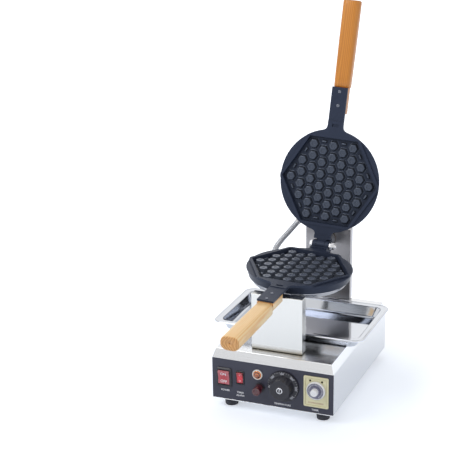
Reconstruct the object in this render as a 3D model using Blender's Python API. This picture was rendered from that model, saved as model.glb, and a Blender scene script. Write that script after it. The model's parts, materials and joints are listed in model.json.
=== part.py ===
# Bubble waffle machine: two hinged round plates with wooden handles, carried
# on a sheet steel base so that the closed pair can be rolled over.
# X points right, Y to the back and Z up; the base stands on Z = 0.
import bpy
import bmesh
import math
from mathutils import Matrix, Vector

# Clearances
gap = 0.0003
weld_distance = 0.000002
cut_overrun = 0.004
sink = 0.001

# Base housing
base_width = 0.250
base_depth = 0.350
base_height = 0.104
sheet = 0.0015
edge_inset = 0.006
edge_height = 0.019
foot_height = 0.020
foot_radius = 0.0130
foot_top_radius = 0.0145
foot_inset_x = 0.029
foot_inset_y = 0.0275
foot_recess_radius = 0.005
foot_recess_depth = 0.004
bottom_sheet = 0.0015
front_opening_margin = 0.008
gland_radius = 0.0095
gland_bore_radius = 0.0042
gland_length = 0.018
gland_flange_radius = 0.013
gland_flange = 0.003
gland_inset_x = 0.045
gland_rise = 0.030
terminal_width = 0.060
terminal_depth = 0.022
terminal_height = 0.018
terminal_groove = 0.003
terminal_setback = 0.036
terminal_slots = 5

# Control panel and what it carries
panel_sheet = 0.002
power_margin_share = 0.1359
power_rise_share = 0.5490
power_width = 0.033
power_height = 0.041
power_rim = 0.0045
power_proud = 0.0035
power_hole_inset = 0.0025
power_body_depth = 0.022
rocker_gap = 0.0010
rocker_half_thickness = 0.0022
rocker_tilt = math.radians(7)
rocker_tip_share = 0.88
rocker_back_share = 0.72
well_depth = 0.0075
power_rocker_rise = 0.0022
alarm_gap_share = 0.1258
alarm_rise_share = 0.5903
alarm_width = 0.0175
alarm_height = 0.0290
alarm_rim = 0.0018
alarm_proud = 0.0020
alarm_hole_inset = 0.0008
alarm_rocker_rise = 0.0016
alarm_body_depth = 0.016
pilot_gap_share = 0.2695
pilot_rise_share = 0.7379
pilot_radius = 0.0105
pilot_proud = 0.0028
pilot_lens_radius = 0.0070
pilot_lens_proud = 0.0047
pilot_stem_radius = 0.0080
pilot_stem_length = 0.014
pilot_wall = 0.0012
lamp_offset = 0.0045
lamp_rise_share = 0.4132
lamp_radius = 0.0085
lamp_length = 0.022
lamp_collar_radius = 0.0105
lamp_collar = 0.0015
lamp_stem_radius = 0.0060
lamp_stem_length = 0.015
lamp_edge = 0.0012
thermostat_gap_share = 0.1719
thermostat_rise_share = 0.5478
skirt_radius = 0.0320
skirt_thickness = 0.0035
skirt_bevel = 0.0012
knob_radius = 0.0215
knob_neck_radius = 0.0235
knob_length = 0.0185
knob_edge = 0.0015
knob_lobes = 10
knob_lobe_share = 0.035
cap_radius = 0.0064
cap_thickness = 0.0012
spindle_radius = 0.0030
spindle_clearance = 0.0003
spindle_engagement = 0.009
panel_hole_clearance = 0.0012
thermostat_body_width = 0.038
thermostat_body_depth = 0.030
timer_gap_share = 0.1508
timer_rise_share = 0.5289
timer_width = 0.0505
timer_height = 0.0645
timer_frame_thickness = 0.0022
timer_corner_radius = 0.0030
timer_dial_lift = 0.0038
dial_ring_radius = 0.0205
dial_ring_width = 0.0022
dial_ring_proud = 0.0045
dial_radius = 0.0178
dial_thickness = 0.0025
timer_knob_radius = 0.0105
timer_knob_length = 0.0120
timer_grip_width = 0.0048
timer_grip_proud = 0.0040
timer_hub_radius = 0.0060
timer_body_width = 0.044
timer_body_height = 0.044
timer_body_depth = 0.032

# Front support and rear upright
support_width = 0.1040
support_depth = 0.0200
support_height = 0.1144
support_setback = 0.0263
upright_width = 0.0986
upright_depth = 0.0145
upright_above_axis = 0.0231
upright_front = 0.3340
cover_sheet = 0.0012
cover_margin = 0.0008

# Drip tray
tray_half_width = 0.1575
tray_front = 0.0750
tray_back = 0.2730
tray_height = 0.0236
tray_sheet = 0.0010
tray_lip = 0.0140
tray_corner_radius = 0.0140
tray_draft = 0.0060
tray_lip_fold = 0.0030

# Waffle plates; each half is drawn from the hinge axis towards the handle
hinge_setback = 0.2888
rest_roll = math.radians(2.4)
open_angle = math.radians(102.4)
half_parting = 0.0002
journal_radius = 0.0173
journal_start = 0.2415
journal_length = 0.0210
hinge_to_centre = 0.1314
plate_radius = 0.1060
plate_thickness = 0.0198
plate_flange = 0.0050
plate_back_radius = 0.1010
plate_body_step = 0.0005
body_start = 0.0030
recess_corner_radius = 0.1000
recess_depth = 0.0090
recess_draft = 0.0015
rim_width = 0.0080
rim_drop = 0.0035
boss_pitch = 0.0242
boss_across = 0.0188
boss_top_across = 0.0160
boss_height = 0.0074
boss_corner_cut = 0.0016
edge_boss_length = 0.0110
edge_boss_width = 0.0048
edge_boss_height = 0.0045
edge_boss_inset = 0.0050
neck_half_width = 0.0165
neck_step = 0.2550
neck_end = 0.3230
neck_drop = 0.0012
neck_fillet = 0.0100
slot_length = 0.0140
slot_width = 0.0055
slot_depth = 0.0025
slot_place = 0.2455
arm_half_width = 0.0178
arm_start = 0.0115
arm_end = 0.0420
arm_thickness = 0.0110
arm_fillet = 0.0080
lug_radius = 0.0090
lug_split = 0.0091
lug_reach = 0.0180
lug_depth = 0.0105
pin_radius = 0.0039
yoke_floor_top = 0.0108
yoke_floor_depth = 0.0170
yoke_front = 0.0320
cheek_rear = 0.0175
cheek_rise = 0.0045
cheek_drop = 0.0140
flange_radius = 0.0168
flange_thickness = 0.0060
shaft_radius = 0.0090
shaft_bore_radius = 0.0050
bush_wall = 0.0035
bush_flange_radius = 0.0170
bush_flange = 0.0030
bush_tail = 0.0030
nut_across = 0.0280
nut_thickness = 0.0065
pin_head_across = 0.0130
pin_head_thickness = 0.0050
pin_tail = 0.0050
acorn_across = 0.0130
acorn_length = 0.0150
acorn_dome_share = 0.50

# Heater covers, heating elements and wiring conduit
heater_rim_radius = 0.0990
heater_shoulder_radius = 0.0945
heater_floor_radius = 0.0880
heater_depth = 0.0112
heater_lip = 0.0012
heater_shoulder_drop = 0.0025
heater_sheet = 0.0010
element_radius = 0.0620
element_tube_radius = 0.0035
element_sweep = math.radians(310)
element_lead = 0.0180
conduit_radius = 0.0060
conduit_groove_radius = 0.0052
conduit_bore_radius = 0.0042
conduit_rib_pitch = 0.0034
conduit_straight = 0.0065
conduit_reach = 0.0400
lower_conduit_angle = math.radians(42)
upper_conduit_angle = math.radians(34)
conduit_depth = 0.0260
fitting_spigot_radius = 0.0045
fitting_bore_radius = 0.0030
fitting_spigot_start = 0.0900
fitting_nut_start = 0.1035
fitting_nut_across = 0.0150
fitting_nut_length = 0.0085
fitting_ferrule_radius = 0.0072
fitting_ferrule_length = 0.0040

# Wooden handles and their rivets
tongue_start = 0.2700
tongue_depth = 0.0165
handle_end = 0.4970
handle_top_drop = 0.0060
handle_thickness = 0.0250
handle_end_thickness = 0.0280
handle_half_width = 0.0165
handle_end_half_width = 0.0185
handle_corner_radius = 0.0075
handle_end_round = 0.0030
handle_hole_radius = 0.0020
handle_hole_depth = 0.0080
rivet_inner_place = 0.2860
rivet_outer_place = 0.3140
rivet_radius = 0.0022
rivet_head_radius = 0.0036
rivet_head = 0.0009

# Facets
round_sides = 20
plate_sides = 60
small_sides = 12
heater_sides = 36
tube_sides = 8
element_steps = 18
corner_steps = 3
fillet_steps = 3
conduit_curve_steps = 200

# Heights and places worked out from the sizes above
bottom_plate_z = foot_height + gap
housing_z = bottom_plate_z + bottom_sheet + gap
deck_z = housing_z + base_height
panel_z = housing_z
ledge_z = deck_z - edge_height
panel_top_z = ledge_z - gap
support_z = deck_z + gap
support_top_z = support_z + support_height
axis_z = support_top_z + gap + journal_radius
upright_height = axis_z - support_z + upright_above_axis
panel_face_y = 0.0
panel_back_y = panel_sheet + gap
neck_under = half_parting + plate_flange
handle_top = half_parting + handle_top_drop
handle_end_top = handle_top - (handle_end_thickness - handle_thickness) / 2
handle_end_bottom = handle_end_top + handle_end_thickness
# The origin lies midway between the ends of the two handles.
lean = open_angle - math.pi / 2
lid_back_reach = (handle_end - handle_end_round) * math.sin(lean) + handle_end_bottom * math.cos(lean)
origin_setback = hinge_setback + (lid_back_reach - handle_end) / 2
# The controls stand in a row; shares of the free width are the gaps between them.
panel_height = panel_top_z - panel_z
free_width = base_width - power_width - alarm_width - pilot_radius * 2 - skirt_radius * 2 - timer_width
power_x = (power_width - base_width) / 2 + free_width * power_margin_share
alarm_x = power_x + (power_width + alarm_width) / 2 + free_width * alarm_gap_share
pilot_x = alarm_x + alarm_width / 2 + free_width * pilot_gap_share + pilot_radius
lamp_x = pilot_x + lamp_offset
thermostat_x = pilot_x + pilot_radius + free_width * thermostat_gap_share + skirt_radius
timer_x = thermostat_x + skirt_radius + free_width * timer_gap_share + timer_width / 2
power_rise = panel_height * power_rise_share
alarm_rise = panel_height * alarm_rise_share
pilot_rise = panel_height * pilot_rise_share
lamp_rise = panel_height * lamp_rise_share
thermostat_rise = panel_height * thermostat_rise_share
timer_rise = panel_height * timer_rise_share
plate_back = half_parting + plate_thickness
cover_start = plate_back + gap


def material(name, color, roughness, metallic=0.0, transmission=0.0):
    """A Principled material with a base colour from the object."""
    made = bpy.data.materials.new(name)
    made.use_nodes = True
    shader = made.node_tree.nodes["Principled BSDF"]
    shader.inputs["Base Color"].default_value = (*color, 1.0)
    shader.inputs["Roughness"].default_value = roughness
    shader.inputs["Metallic"].default_value = metallic
    shader.inputs["Transmission Weight"].default_value = transmission
    made.diffuse_color = (*color, 1.0)
    return made


def empty_frame(name, parent=None):
    """An empty that carries pieces in its own coordinates."""
    made = bpy.data.objects.new(name, None)
    bpy.context.scene.collection.objects.link(made)
    made.parent = parent
    return made


def finish(name, bm, finish_material, parent=None, smooth_angle=35):
    """Closes a bmesh into a named object with outward faces."""
    bmesh.ops.remove_doubles(bm, verts=bm.verts, dist=weld_distance)
    bmesh.ops.dissolve_degenerate(bm, edges=bm.edges, dist=weld_distance)
    bmesh.ops.recalc_face_normals(bm, faces=bm.faces)
    mesh = bpy.data.meshes.new(name)
    bm.to_mesh(mesh)
    bm.free()
    mesh.materials.append(finish_material)
    mesh.shade_smooth()
    mesh.set_sharp_from_angle(angle=math.radians(smooth_angle))
    made = bpy.data.objects.new(name, mesh)
    bpy.context.scene.collection.objects.link(made)
    made.parent = parent or bpy.data.objects["machine_frame"]
    return made


def add_loft(bm, loops, ring=False):
    """Joins loops of equal point counts; the ends get caps unless it is a ring."""
    rows = [[bm.verts.new(point) for point in loop] for loop in loops]
    count = len(rows[0])
    pairs = list(zip(rows, rows[1:]))
    if ring:
        pairs.append((rows[-1], rows[0]))
    for low, high in pairs:
        for i in range(count):
            j = (i + 1) % count
            bm.faces.new((low[i], low[j], high[j], high[i]))
    if not ring:
        bm.faces.new(rows[0][::-1])
        bm.faces.new(rows[-1])


def loft(name, loops, finish_material, parent=None, ring=False):
    """One lofted solid as an object."""
    bm = bmesh.new()
    add_loft(bm, loops, ring)
    return finish(name, bm, finish_material, parent)


def cut(target, tool, operation="DIFFERENCE"):
    """Adds an exact Boolean and hides its tool."""
    modifier = target.modifiers.new(operation.title() + " " + tool.name, "BOOLEAN")
    modifier.operation = operation
    modifier.solver = "EXACT"
    modifier.object = tool
    tool.hide_render = True
    tool.display_type = "WIRE"
    return target


def box_loops(low, high):
    """Two square loops of a box between two corners."""
    corners = [(low[0], low[1]), (high[0], low[1]), (high[0], high[1]), (low[0], high[1])]
    return [[Vector((x, y, z)) for x, y in corners] for z in (low[2], high[2])]


def box(name, low, high, finish_material, parent=None):
    """A plain block between two corners."""
    return loft(name, box_loops(low, high), finish_material, parent)


def circle(radius, height, sides, centre=(0.0, 0.0)):
    """A loop round Z at a height."""
    turns = [2 * math.pi * i / sides for i in range(sides)]
    return [Vector((centre[0] + radius * math.cos(t), centre[1] + radius * math.sin(t), height)) for t in turns]


def rounded_rectangle(low, high, radius, steps=corner_steps):
    """Points (a, b) of a rectangle with round corners, anticlockwise."""
    radius = min(radius, (high[0] - low[0]) / 2, (high[1] - low[1]) / 2)
    centres = [
        (high[0] - radius, low[1] + radius, -90),
        (high[0] - radius, high[1] - radius, 0),
        (low[0] + radius, high[1] - radius, 90),
        (low[0] + radius, low[1] + radius, 180),
    ]
    points = []
    for x, y, start in centres:
        for i in range(steps + 1):
            turn = math.radians(start + 90 * i / steps)
            points.append((x + radius * math.cos(turn), y + radius * math.sin(turn)))
    return points


def turned(name, profile, finish_material, place, parent=None, sides=round_sides, ring=False):
    """A turned solid from (radius, height) pairs; place moves Z onto its axis."""
    loops = [circle(radius, height, sides) for radius, height in profile]
    made = loft(name, loops, finish_material, parent, ring)
    made.data.transform(place)
    return made


def along(axis, origin):
    """A matrix that turns Z onto an axis and moves to an origin."""
    return Matrix.Translation(Vector(origin)) @ Vector(axis).to_track_quat("Z", "Y").to_matrix().to_4x4()


def on_panel(x, rise):
    """The point of the panel's outer face at a place above its lower edge."""
    return Vector((x, panel_face_y, panel_z + rise))


def outwards(x, rise):
    """A matrix whose Z comes straight out of the panel at a place."""
    return along((0, -1, 0), on_panel(x, rise))


# Base
def housing_loop(y_front, inset, z):
    """A level rectangle of the housing, drawn in by an inset."""
    half = base_width / 2 - inset
    back = base_depth - inset
    return [
        Vector((-half, y_front, z)),
        Vector((half, y_front, z)),
        Vector((half, back, z)),
        Vector((-half, back, z)),
    ]


def make_housing(steel):
    """Folded sheet housing, open below, with sloped edges round the deck."""
    slope = edge_inset / edge_height
    inner_top = deck_z - sheet
    loops = [
        housing_loop(edge_inset, edge_inset, deck_z),
        housing_loop(0, 0, ledge_z),
        housing_loop(panel_back_y, 0, ledge_z),
        housing_loop(panel_back_y, 0, housing_z),
        housing_loop(panel_back_y + sheet, sheet, housing_z),
        housing_loop(panel_back_y + sheet, sheet, ledge_z + sheet),
        housing_loop(panel_back_y + sheet + edge_inset - slope * sheet, sheet + edge_inset - slope * sheet, inner_top),
    ]
    shell = loft("housing_shell", loops, steel)
    half = base_width / 2 - front_opening_margin
    opening = box(
        "front_opening_cutter",
        (-half, panel_back_y - cut_overrun, housing_z + front_opening_margin),
        (half, panel_back_y + sheet + cut_overrun, panel_top_z - front_opening_margin),
        steel,
    )
    cut(shell, opening)
    gland_x = base_width / 2 - gland_inset_x
    hole = turned(
        "gland_hole_cutter",
        [(gland_radius + gap, -cut_overrun), (gland_radius + gap, sheet + cut_overrun)],
        steel,
        along((0, -1, 0), (gland_x, base_depth, housing_z + gland_rise)),
    )
    return cut(shell, hole)


def make_base(steel, rubber, black):
    """Housing, bottom plate, feet, cable gland and terminal block."""
    make_housing(steel)
    half = base_width / 2
    box("bottom_plate", (-half, 0, bottom_plate_z), (half, base_depth, bottom_plate_z + bottom_sheet), steel)
    places = {
        "foot_front_left": (-1, foot_inset_y),
        "foot_front_right": (1, foot_inset_y),
        "foot_rear_left": (-1, base_depth - foot_inset_y),
        "foot_rear_right": (1, base_depth - foot_inset_y),
    }
    foot_profile = [
        (foot_recess_radius, foot_recess_depth),
        (foot_recess_radius, 0),
        (foot_radius, 0),
        (foot_top_radius, foot_height),
    ]
    for name, (side, y) in places.items():
        centre = (side * (half - foot_inset_x), y, 0)
        turned(name, foot_profile, rubber, Matrix.Translation(centre))
    gland_place = along((0, 1, 0), (half - gland_inset_x, base_depth, housing_z + gland_rise))
    gland_profile = [
        (gland_bore_radius, -gland_length / 2),
        (gland_radius, -gland_length / 2),
        (gland_radius, gap),
        (gland_flange_radius, gap),
        (gland_flange_radius, gap + gland_flange),
        (gland_radius, gap + gland_flange),
        ((gland_radius + gland_bore_radius) / 2, gland_length),
        (gland_bore_radius, gland_length),
    ]
    turned("cable_gland", gland_profile, black, gland_place, ring=True)
    make_terminal_block(black)


def make_terminal_block(black):
    """Block with a row of slots, on the bottom plate behind the gland."""
    z = bottom_plate_z + bottom_sheet + gap
    x0 = base_width / 2 - gland_inset_x - terminal_width
    y0 = base_depth - terminal_setback - terminal_depth
    block = box("terminal_block", (x0, y0, z), (x0 + terminal_width, y0 + terminal_depth, z + terminal_height), black)
    bm = bmesh.new()
    step = terminal_width / terminal_slots
    for i in range(1, terminal_slots):
        x = x0 + i * step
        low = (x - terminal_groove / 2, y0 - cut_overrun, z + terminal_height / 2)
        high = (x + terminal_groove / 2, y0 + terminal_depth + cut_overrun, z + terminal_height + cut_overrun)
        add_loft(bm, box_loops(low, high))
    cut(block, finish("terminal_slot_cutter", bm, black))


# Control panel
def panel_holes(black):
    """Cutters for everything that passes through the panel."""
    bm = bmesh.new()
    for x, rise, width, height, inset in (
        (power_x, power_rise, power_width, power_height, power_hole_inset),
        (alarm_x, alarm_rise, alarm_width, alarm_height, alarm_hole_inset),
    ):
        centre = on_panel(x, rise)
        reach = Vector((width / 2 - inset + gap, 0, height / 2 - inset + gap))
        out = Vector((0, cut_overrun, 0))
        back = Vector((0, panel_sheet + cut_overrun, 0))
        add_loft(bm, box_loops(centre - reach - out, centre + reach + back))
    rounds = (
        (pilot_x, pilot_rise, pilot_stem_radius + gap),
        (lamp_x, lamp_rise, lamp_stem_radius + gap),
        (thermostat_x, thermostat_rise, spindle_radius + panel_hole_clearance),
        (timer_x, timer_rise + timer_dial_lift, spindle_radius + panel_hole_clearance),
    )
    for x, rise, radius in rounds:
        loops = [circle(radius, -panel_sheet - cut_overrun, round_sides), circle(radius, cut_overrun, round_sides)]
        place = outwards(x, rise)
        add_loft(bm, [[place @ point for point in loop] for loop in loops])
    return finish("panel_hole_cutter", bm, black)


def frame_loops(x, rise, width, height, levels):
    """Rounded rectangles on the panel: (inset, proud) pairs."""
    loops = []
    centre = on_panel(x, rise)
    for inset, proud, radius in levels:
        points = rounded_rectangle(
            (-width / 2 + inset, -height / 2 + inset), (width / 2 - inset, height / 2 - inset), radius
        )
        loops.append([centre + Vector((a, -proud, b)) for a, b in points])
    return loops


def switch(prefix, x, rise, width, height, rim, proud, hole_inset, depth, rocker_rise, black, red):
    """A rocker switch: its body with a rim, and the rocker in it."""
    round_edge = rim / 2
    levels = [
        (hole_inset, -depth, round_edge),
        (hole_inset, gap, round_edge),
        (0, gap, rim),
        (0, proud - round_edge, rim),
        (round_edge, proud, rim / 2),
        (rim, proud, gap),
        (rim, proud - well_depth, gap),
    ]
    loft(prefix + "_switch_body", frame_loops(x, rise, width, height, levels), black)
    half_x = width / 2 - rim - gap
    half_z = height / 2 - rim - rocker_gap
    # Side view of the rocker: a shallow V in front, drawn in behind.
    front = -rocker_half_thickness
    back = rocker_half_thickness
    section = [
        (-half_z, front + rocker_rise * rocker_tip_share),
        (-half_z * rocker_tip_share, front - rocker_rise),
        (0, front),
        (half_z * rocker_tip_share, front - rocker_rise),
        (half_z, front + rocker_rise * rocker_tip_share),
        (half_z * rocker_back_share, back),
        (-half_z * rocker_back_share, back),
    ]
    loops = [[Vector((side * half_x, y, z)) for z, y in section] for side in (-1, 1)]
    rocker = loft(prefix + "_rocker", loops, red)
    rocker.location = on_panel(x, rise) + Vector((0, rocker_half_thickness - proud, 0))
    rocker.rotation_euler = (rocker_tilt, 0, 0)
    return rocker


def lamp_parts(black, white, amber, red):
    """Round pilot lamp and the long lamp cap below it."""
    place = outwards(pilot_x, pilot_rise)
    ring_profile = [
        (pilot_lens_radius, gap + pilot_wall),
        (pilot_lens_radius, pilot_proud),
        (pilot_radius - pilot_wall, pilot_proud),
        (pilot_radius, pilot_proud / 2),
        (pilot_radius, gap),
        (pilot_stem_radius, gap),
        (pilot_stem_radius, -pilot_stem_length),
    ]
    turned("pilot_lamp_ring", ring_profile, white, place)
    lens = pilot_lens_radius - gap
    dome = pilot_lens_proud - pilot_proud
    lens_profile = [
        (lens, gap * 2 + pilot_wall),
        (lens, pilot_proud),
        (lens * math.cos(math.pi / 4), pilot_proud + dome * math.sin(math.pi / 4)),
        (lens * math.sin(math.pi / 12), pilot_lens_proud),
    ]
    turned("pilot_lamp_lens", lens_profile, amber, place)
    place = outwards(lamp_x, lamp_rise)
    collar_profile = [
        (lamp_stem_radius, -lamp_stem_length),
        (lamp_stem_radius, gap),
        (lamp_collar_radius, gap),
        (lamp_collar_radius, lamp_collar),
    ]
    turned("alarm_lamp_collar", collar_profile, black, place)
    cap_profile = [
        (lamp_radius, lamp_collar + gap),
        (lamp_radius, lamp_length - lamp_edge),
        (lamp_radius - lamp_edge, lamp_length),
    ]
    turned("alarm_lamp_cap", cap_profile, red, place)


def spindle_and_body(prefix, x, rise, tip, width, height, depth, steel, black):
    """A control body behind the panel and the spindle that comes out of it."""
    centre = on_panel(x, rise)
    front = panel_sheet + sheet + gap * 2
    body_low = centre + Vector((-width / 2, front, -height / 2))
    body_high = centre + Vector((width / 2, front + depth, height / 2))
    body = box(prefix + "_body", body_low, body_high, black)
    bore = turned(
        prefix + "_bore_cutter",
        [(spindle_radius + spindle_clearance, -front - depth / 2), (spindle_radius + spindle_clearance, cut_overrun)],
        black,
        outwards(x, rise),
        sides=small_sides,
    )
    cut(body, bore)
    turned(
        prefix + "_spindle",
        [(spindle_radius, -front - depth / 2 + gap), (spindle_radius, tip)],
        steel,
        outwards(x, rise),
        sides=small_sides,
    )


def make_thermostat(black, steel, bright):
    """Numbered-skirt knob with a grooved grip, spindle and centre cap."""
    tip = gap + skirt_thickness + spindle_engagement
    spindle_and_body(
        "thermostat", thermostat_x, thermostat_rise, tip,
        thermostat_body_width, thermostat_body_width, thermostat_body_depth, steel, black,
    )
    top = gap * 2 + skirt_thickness + knob_length

    def grip(radius, height):
        points = []
        for i in range(knob_lobes * 4):
            turn = 2 * math.pi * i / (knob_lobes * 4)
            wave = 1 - knob_lobe_share * (0.5 - 0.5 * math.cos(turn * knob_lobes))
            points.append(Vector((radius * wave * math.cos(turn), radius * wave * math.sin(turn), height)))
        return points

    bore = spindle_radius + spindle_clearance
    sides = knob_lobes * 4
    floor = tip + gap
    loops = [
        circle(bore, floor, sides),
        circle(bore, gap * 2, sides),
        circle(skirt_radius, gap * 2, sides),
        circle(skirt_radius, gap * 2 + skirt_thickness - skirt_bevel, sides),
        circle(skirt_radius - skirt_bevel, gap * 2 + skirt_thickness, sides),
        circle(knob_neck_radius, gap * 2 + skirt_thickness, sides),
        grip(knob_neck_radius, gap * 2 + skirt_thickness + knob_edge),
        grip(knob_radius, top - knob_edge),
        grip(knob_radius - knob_edge, top),
    ]
    place = outwards(thermostat_x, thermostat_rise)
    knob = loft("thermostat_knob", loops, black)
    knob.data.transform(place)
    cap_profile = [
        (cap_radius, top + gap),
        (cap_radius, top + gap + cap_thickness / 2),
        (cap_radius - cap_thickness / 2, top + gap + cap_thickness),
    ]
    turned("thermostat_knob_cap", cap_profile, bright, place)


def make_timer(cream, black, white, steel):
    """Timer with a cream frame, a dial ring and a winged knob."""
    rise = timer_rise + timer_dial_lift
    tip = gap + timer_frame_thickness + gap + dial_thickness + spindle_engagement
    spindle_and_body("timer", timer_x, rise, tip, timer_body_width, timer_body_height, timer_body_depth, steel, black)
    edge = timer_frame_thickness / 2
    levels = [
        (0, gap, timer_corner_radius),
        (0, edge, timer_corner_radius),
        (edge, timer_frame_thickness, timer_corner_radius),
    ]
    plate = loft("timer_frame", frame_loops(timer_x, timer_rise, timer_width, timer_height, levels), cream)
    hole = turned(
        "timer_frame_hole_cutter",
        [(spindle_radius + panel_hole_clearance, -cut_overrun), (spindle_radius + panel_hole_clearance, cut_overrun)],
        cream,
        outwards(timer_x, rise),
        sides=small_sides,
    )
    cut(plate, hole)
    place = outwards(timer_x, rise)
    low = timer_frame_thickness + gap
    ring_profile = [
        (dial_ring_radius - dial_ring_width, low),
        (dial_ring_radius, low),
        (dial_ring_radius, low + dial_ring_proud - edge),
        (dial_ring_radius - edge, low + dial_ring_proud),
        (dial_ring_radius - dial_ring_width, low + dial_ring_proud - edge),
    ]
    turned("timer_dial_ring", ring_profile, white, place, ring=True)
    # The dial disc turns with its knob, so both are one moulding with a bore.
    top = low + dial_thickness + timer_knob_length
    knob_profile = [
        (dial_radius, low),
        (dial_radius, low + dial_thickness),
        (timer_knob_radius, low + dial_thickness),
        (timer_knob_radius, low + dial_thickness + dial_thickness),
        (timer_hub_radius, top - edge),
        (timer_hub_radius - edge, top),
    ]
    knob = turned("timer_knob", knob_profile, white, place)
    grip_low = low + dial_thickness + sink
    wing = box(
        "timer_wing",
        (-timer_grip_width / 2, -timer_knob_radius, grip_low),
        (timer_grip_width / 2, timer_knob_radius, top - timer_grip_proud / 2),
        white,
    )
    wing.data.transform(place)
    cut(knob, wing, "UNION")
    bore_radius = spindle_radius + spindle_clearance
    bore_profile = [(bore_radius, low - cut_overrun), (bore_radius, tip + gap)]
    bore = turned("timer_knob_bore_cutter", bore_profile, white, place, sides=small_sides)
    cut(knob, bore)


def make_panel(black, white, cream, steel, bright, red, amber, dark_red):
    """Panel plate and every control on it."""
    half = base_width / 2
    plate = box("control_panel", (-half, 0, panel_z), (half, panel_sheet, panel_top_z), black)
    cut(plate, panel_holes(black))
    switch(
        "power", power_x, power_rise, power_width, power_height, power_rim, power_proud,
        power_hole_inset, power_body_depth, power_rocker_rise, black, red,
    )
    switch(
        "alarm", alarm_x, alarm_rise, alarm_width, alarm_height, alarm_rim, alarm_proud,
        alarm_hole_inset, alarm_body_depth, alarm_rocker_rise, black, dark_red,
    )
    lamp_parts(black, white, amber, dark_red)
    make_thermostat(black, steel, bright)
    make_timer(cream, black, white, steel)


# Supports and tray
def channel(name, width, depth, height, front, finish_material):
    """A folded channel open at its back, standing on the deck."""
    z0 = support_z
    half = width / 2

    def rectangle(inset, y):
        return [
            Vector((-half + inset, y, z0 + inset)),
            Vector((half - inset, y, z0 + inset)),
            Vector((half - inset, y, z0 + height - inset)),
            Vector((-half + inset, y, z0 + height - inset)),
        ]

    loops = [rectangle(0, front), rectangle(0, front + depth), rectangle(sheet, front + depth),
             rectangle(sheet, front + sheet)]
    return loft(name, loops, finish_material)


def make_supports(steel, bright, brass):
    """Front support, rear upright with its cover, and the roll bearing."""
    channel("front_support", support_width, support_depth, support_height, support_setback, steel)
    upright = channel("rear_upright", upright_width, upright_depth, upright_height, upright_front, steel)
    bush_radius = shaft_radius + gap + bush_wall
    axis = (0, upright_front, axis_z)
    hole = turned(
        "bearing_hole_cutter",
        [(bush_radius + gap, -cut_overrun), (bush_radius + gap, sheet + cut_overrun)],
        steel,
        along((0, 1, 0), axis),
    )
    cut(upright, hole)
    back = upright_front + upright_depth + gap
    half = upright_width / 2 - cover_margin
    box(
        "upright_cover",
        (-half, back, support_z + cover_margin),
        (half, back + cover_sheet, support_z + upright_height - cover_margin),
        steel,
    )
    bush_profile = [
        (shaft_radius + gap, -gap - bush_flange),
        (bush_flange_radius, -gap - bush_flange),
        (bush_flange_radius, -gap),
        (bush_radius, -gap),
        (bush_radius, sheet + bush_tail),
        (shaft_radius + gap, sheet + bush_tail),
    ]
    turned("bearing_bush", bush_profile, brass, along((0, 1, 0), axis), ring=True)


def make_tray(bright):
    """Drip tray: one pressed sheet with a wide flat lip, folded down at its edge."""
    z0 = deck_z + gap

    def level(inset, z, radius):
        points = rounded_rectangle(
            (-tray_half_width + inset, tray_front + inset), (tray_half_width - inset, tray_back - inset), radius
        )
        return [Vector((x, y, z)) for x, y in points]

    top = z0 + tray_height
    floor_inset = tray_lip + tray_draft
    inner_radius = tray_corner_radius
    loops = [
        level(floor_inset + tray_sheet, z0 + tray_sheet, inner_radius),
        level(tray_lip + tray_sheet, top, inner_radius),
        level(tray_sheet, top, tray_corner_radius + tray_lip / 2),
        level(0, top - tray_sheet, tray_corner_radius + tray_lip / 2),
        level(0, top - tray_lip_fold, tray_corner_radius + tray_lip / 2),
        level(tray_sheet, top - tray_lip_fold, tray_corner_radius + tray_lip / 2),
        level(tray_sheet, top - tray_sheet, tray_corner_radius + tray_lip / 2),
        level(tray_lip, top - tray_sheet, inner_radius),
        level(floor_inset, z0, inner_radius),
    ]
    return loft("drip_tray", loops, bright)


# Waffle plates
def fillet_arc(half_width, fillet, upwards):
    """Points of the round between the disc and a strip, on the +X side."""
    reach = plate_radius + fillet
    cx = half_width + fillet
    cu = hinge_to_centre + upwards * math.sqrt(reach * reach - cx * cx)
    start = math.atan2(hinge_to_centre - cu, -cx)
    end = math.pi if start > 0 else -math.pi
    return [
        (cx + fillet * math.cos(start + (end - start) * i / fillet_steps),
         cu + fillet * math.sin(start + (end - start) * i / fillet_steps))
        for i in range(fillet_steps + 1)
    ]


def plate_outline():
    """The plate seen flat, as (x, u): disc, neck towards the handle and hinge arm."""
    arm = fillet_arc(arm_half_width, arm_fillet, -1)
    neck = fillet_arc(neck_half_width, neck_fillet, 1)
    low = math.atan2(arm[0][1] - hinge_to_centre, arm[0][0])
    high = math.atan2(neck[0][1] - hinge_to_centre, neck[0][0])
    half_disc = plate_sides // 2
    arc = []
    for i in range(1, half_disc):
        turn = low + (high - low) * i / half_disc
        arc.append((plate_radius * math.cos(turn), hinge_to_centre + plate_radius * math.sin(turn)))
    right = [(arm_half_width, arm_start)] + arm[::-1] + arc + neck + [(neck_half_width, neck_end)]
    left = [(-x, u) for x, u in reversed(right)]
    return right + left


def half_point(x, u, w, side):
    """A point of one half: u runs from the hinge to the handle, w outwards."""
    return Vector((x, -u, side * w))


def flat_loops(outline, levels, side):
    """Loops of an (x, u) outline at distances from the parting plane."""
    return [[half_point(x, u, w, side) for x, u in outline] for w in levels]


def hexagon_outline(corner_radius, centre=(0.0, 0.0), corner_cut=0.0):
    """Hexagon with corners on the X axis, as (x, u), its corners cut off if asked."""
    points = []
    for i in range(6):
        turn = math.pi / 3 * i
        corner = Vector((corner_radius * math.cos(turn), corner_radius * math.sin(turn)))
        if corner_cut:
            for step in (-1, 1):
                other = math.pi / 3 * (i + step)
                towards = Vector((corner_radius * math.cos(other), corner_radius * math.sin(other))) - corner
                points.append(corner + towards.normalized() * corner_cut)
        else:
            points.append(corner)
    return [(centre[0] + p[0], centre[1] + p[1]) for p in points]


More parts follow.
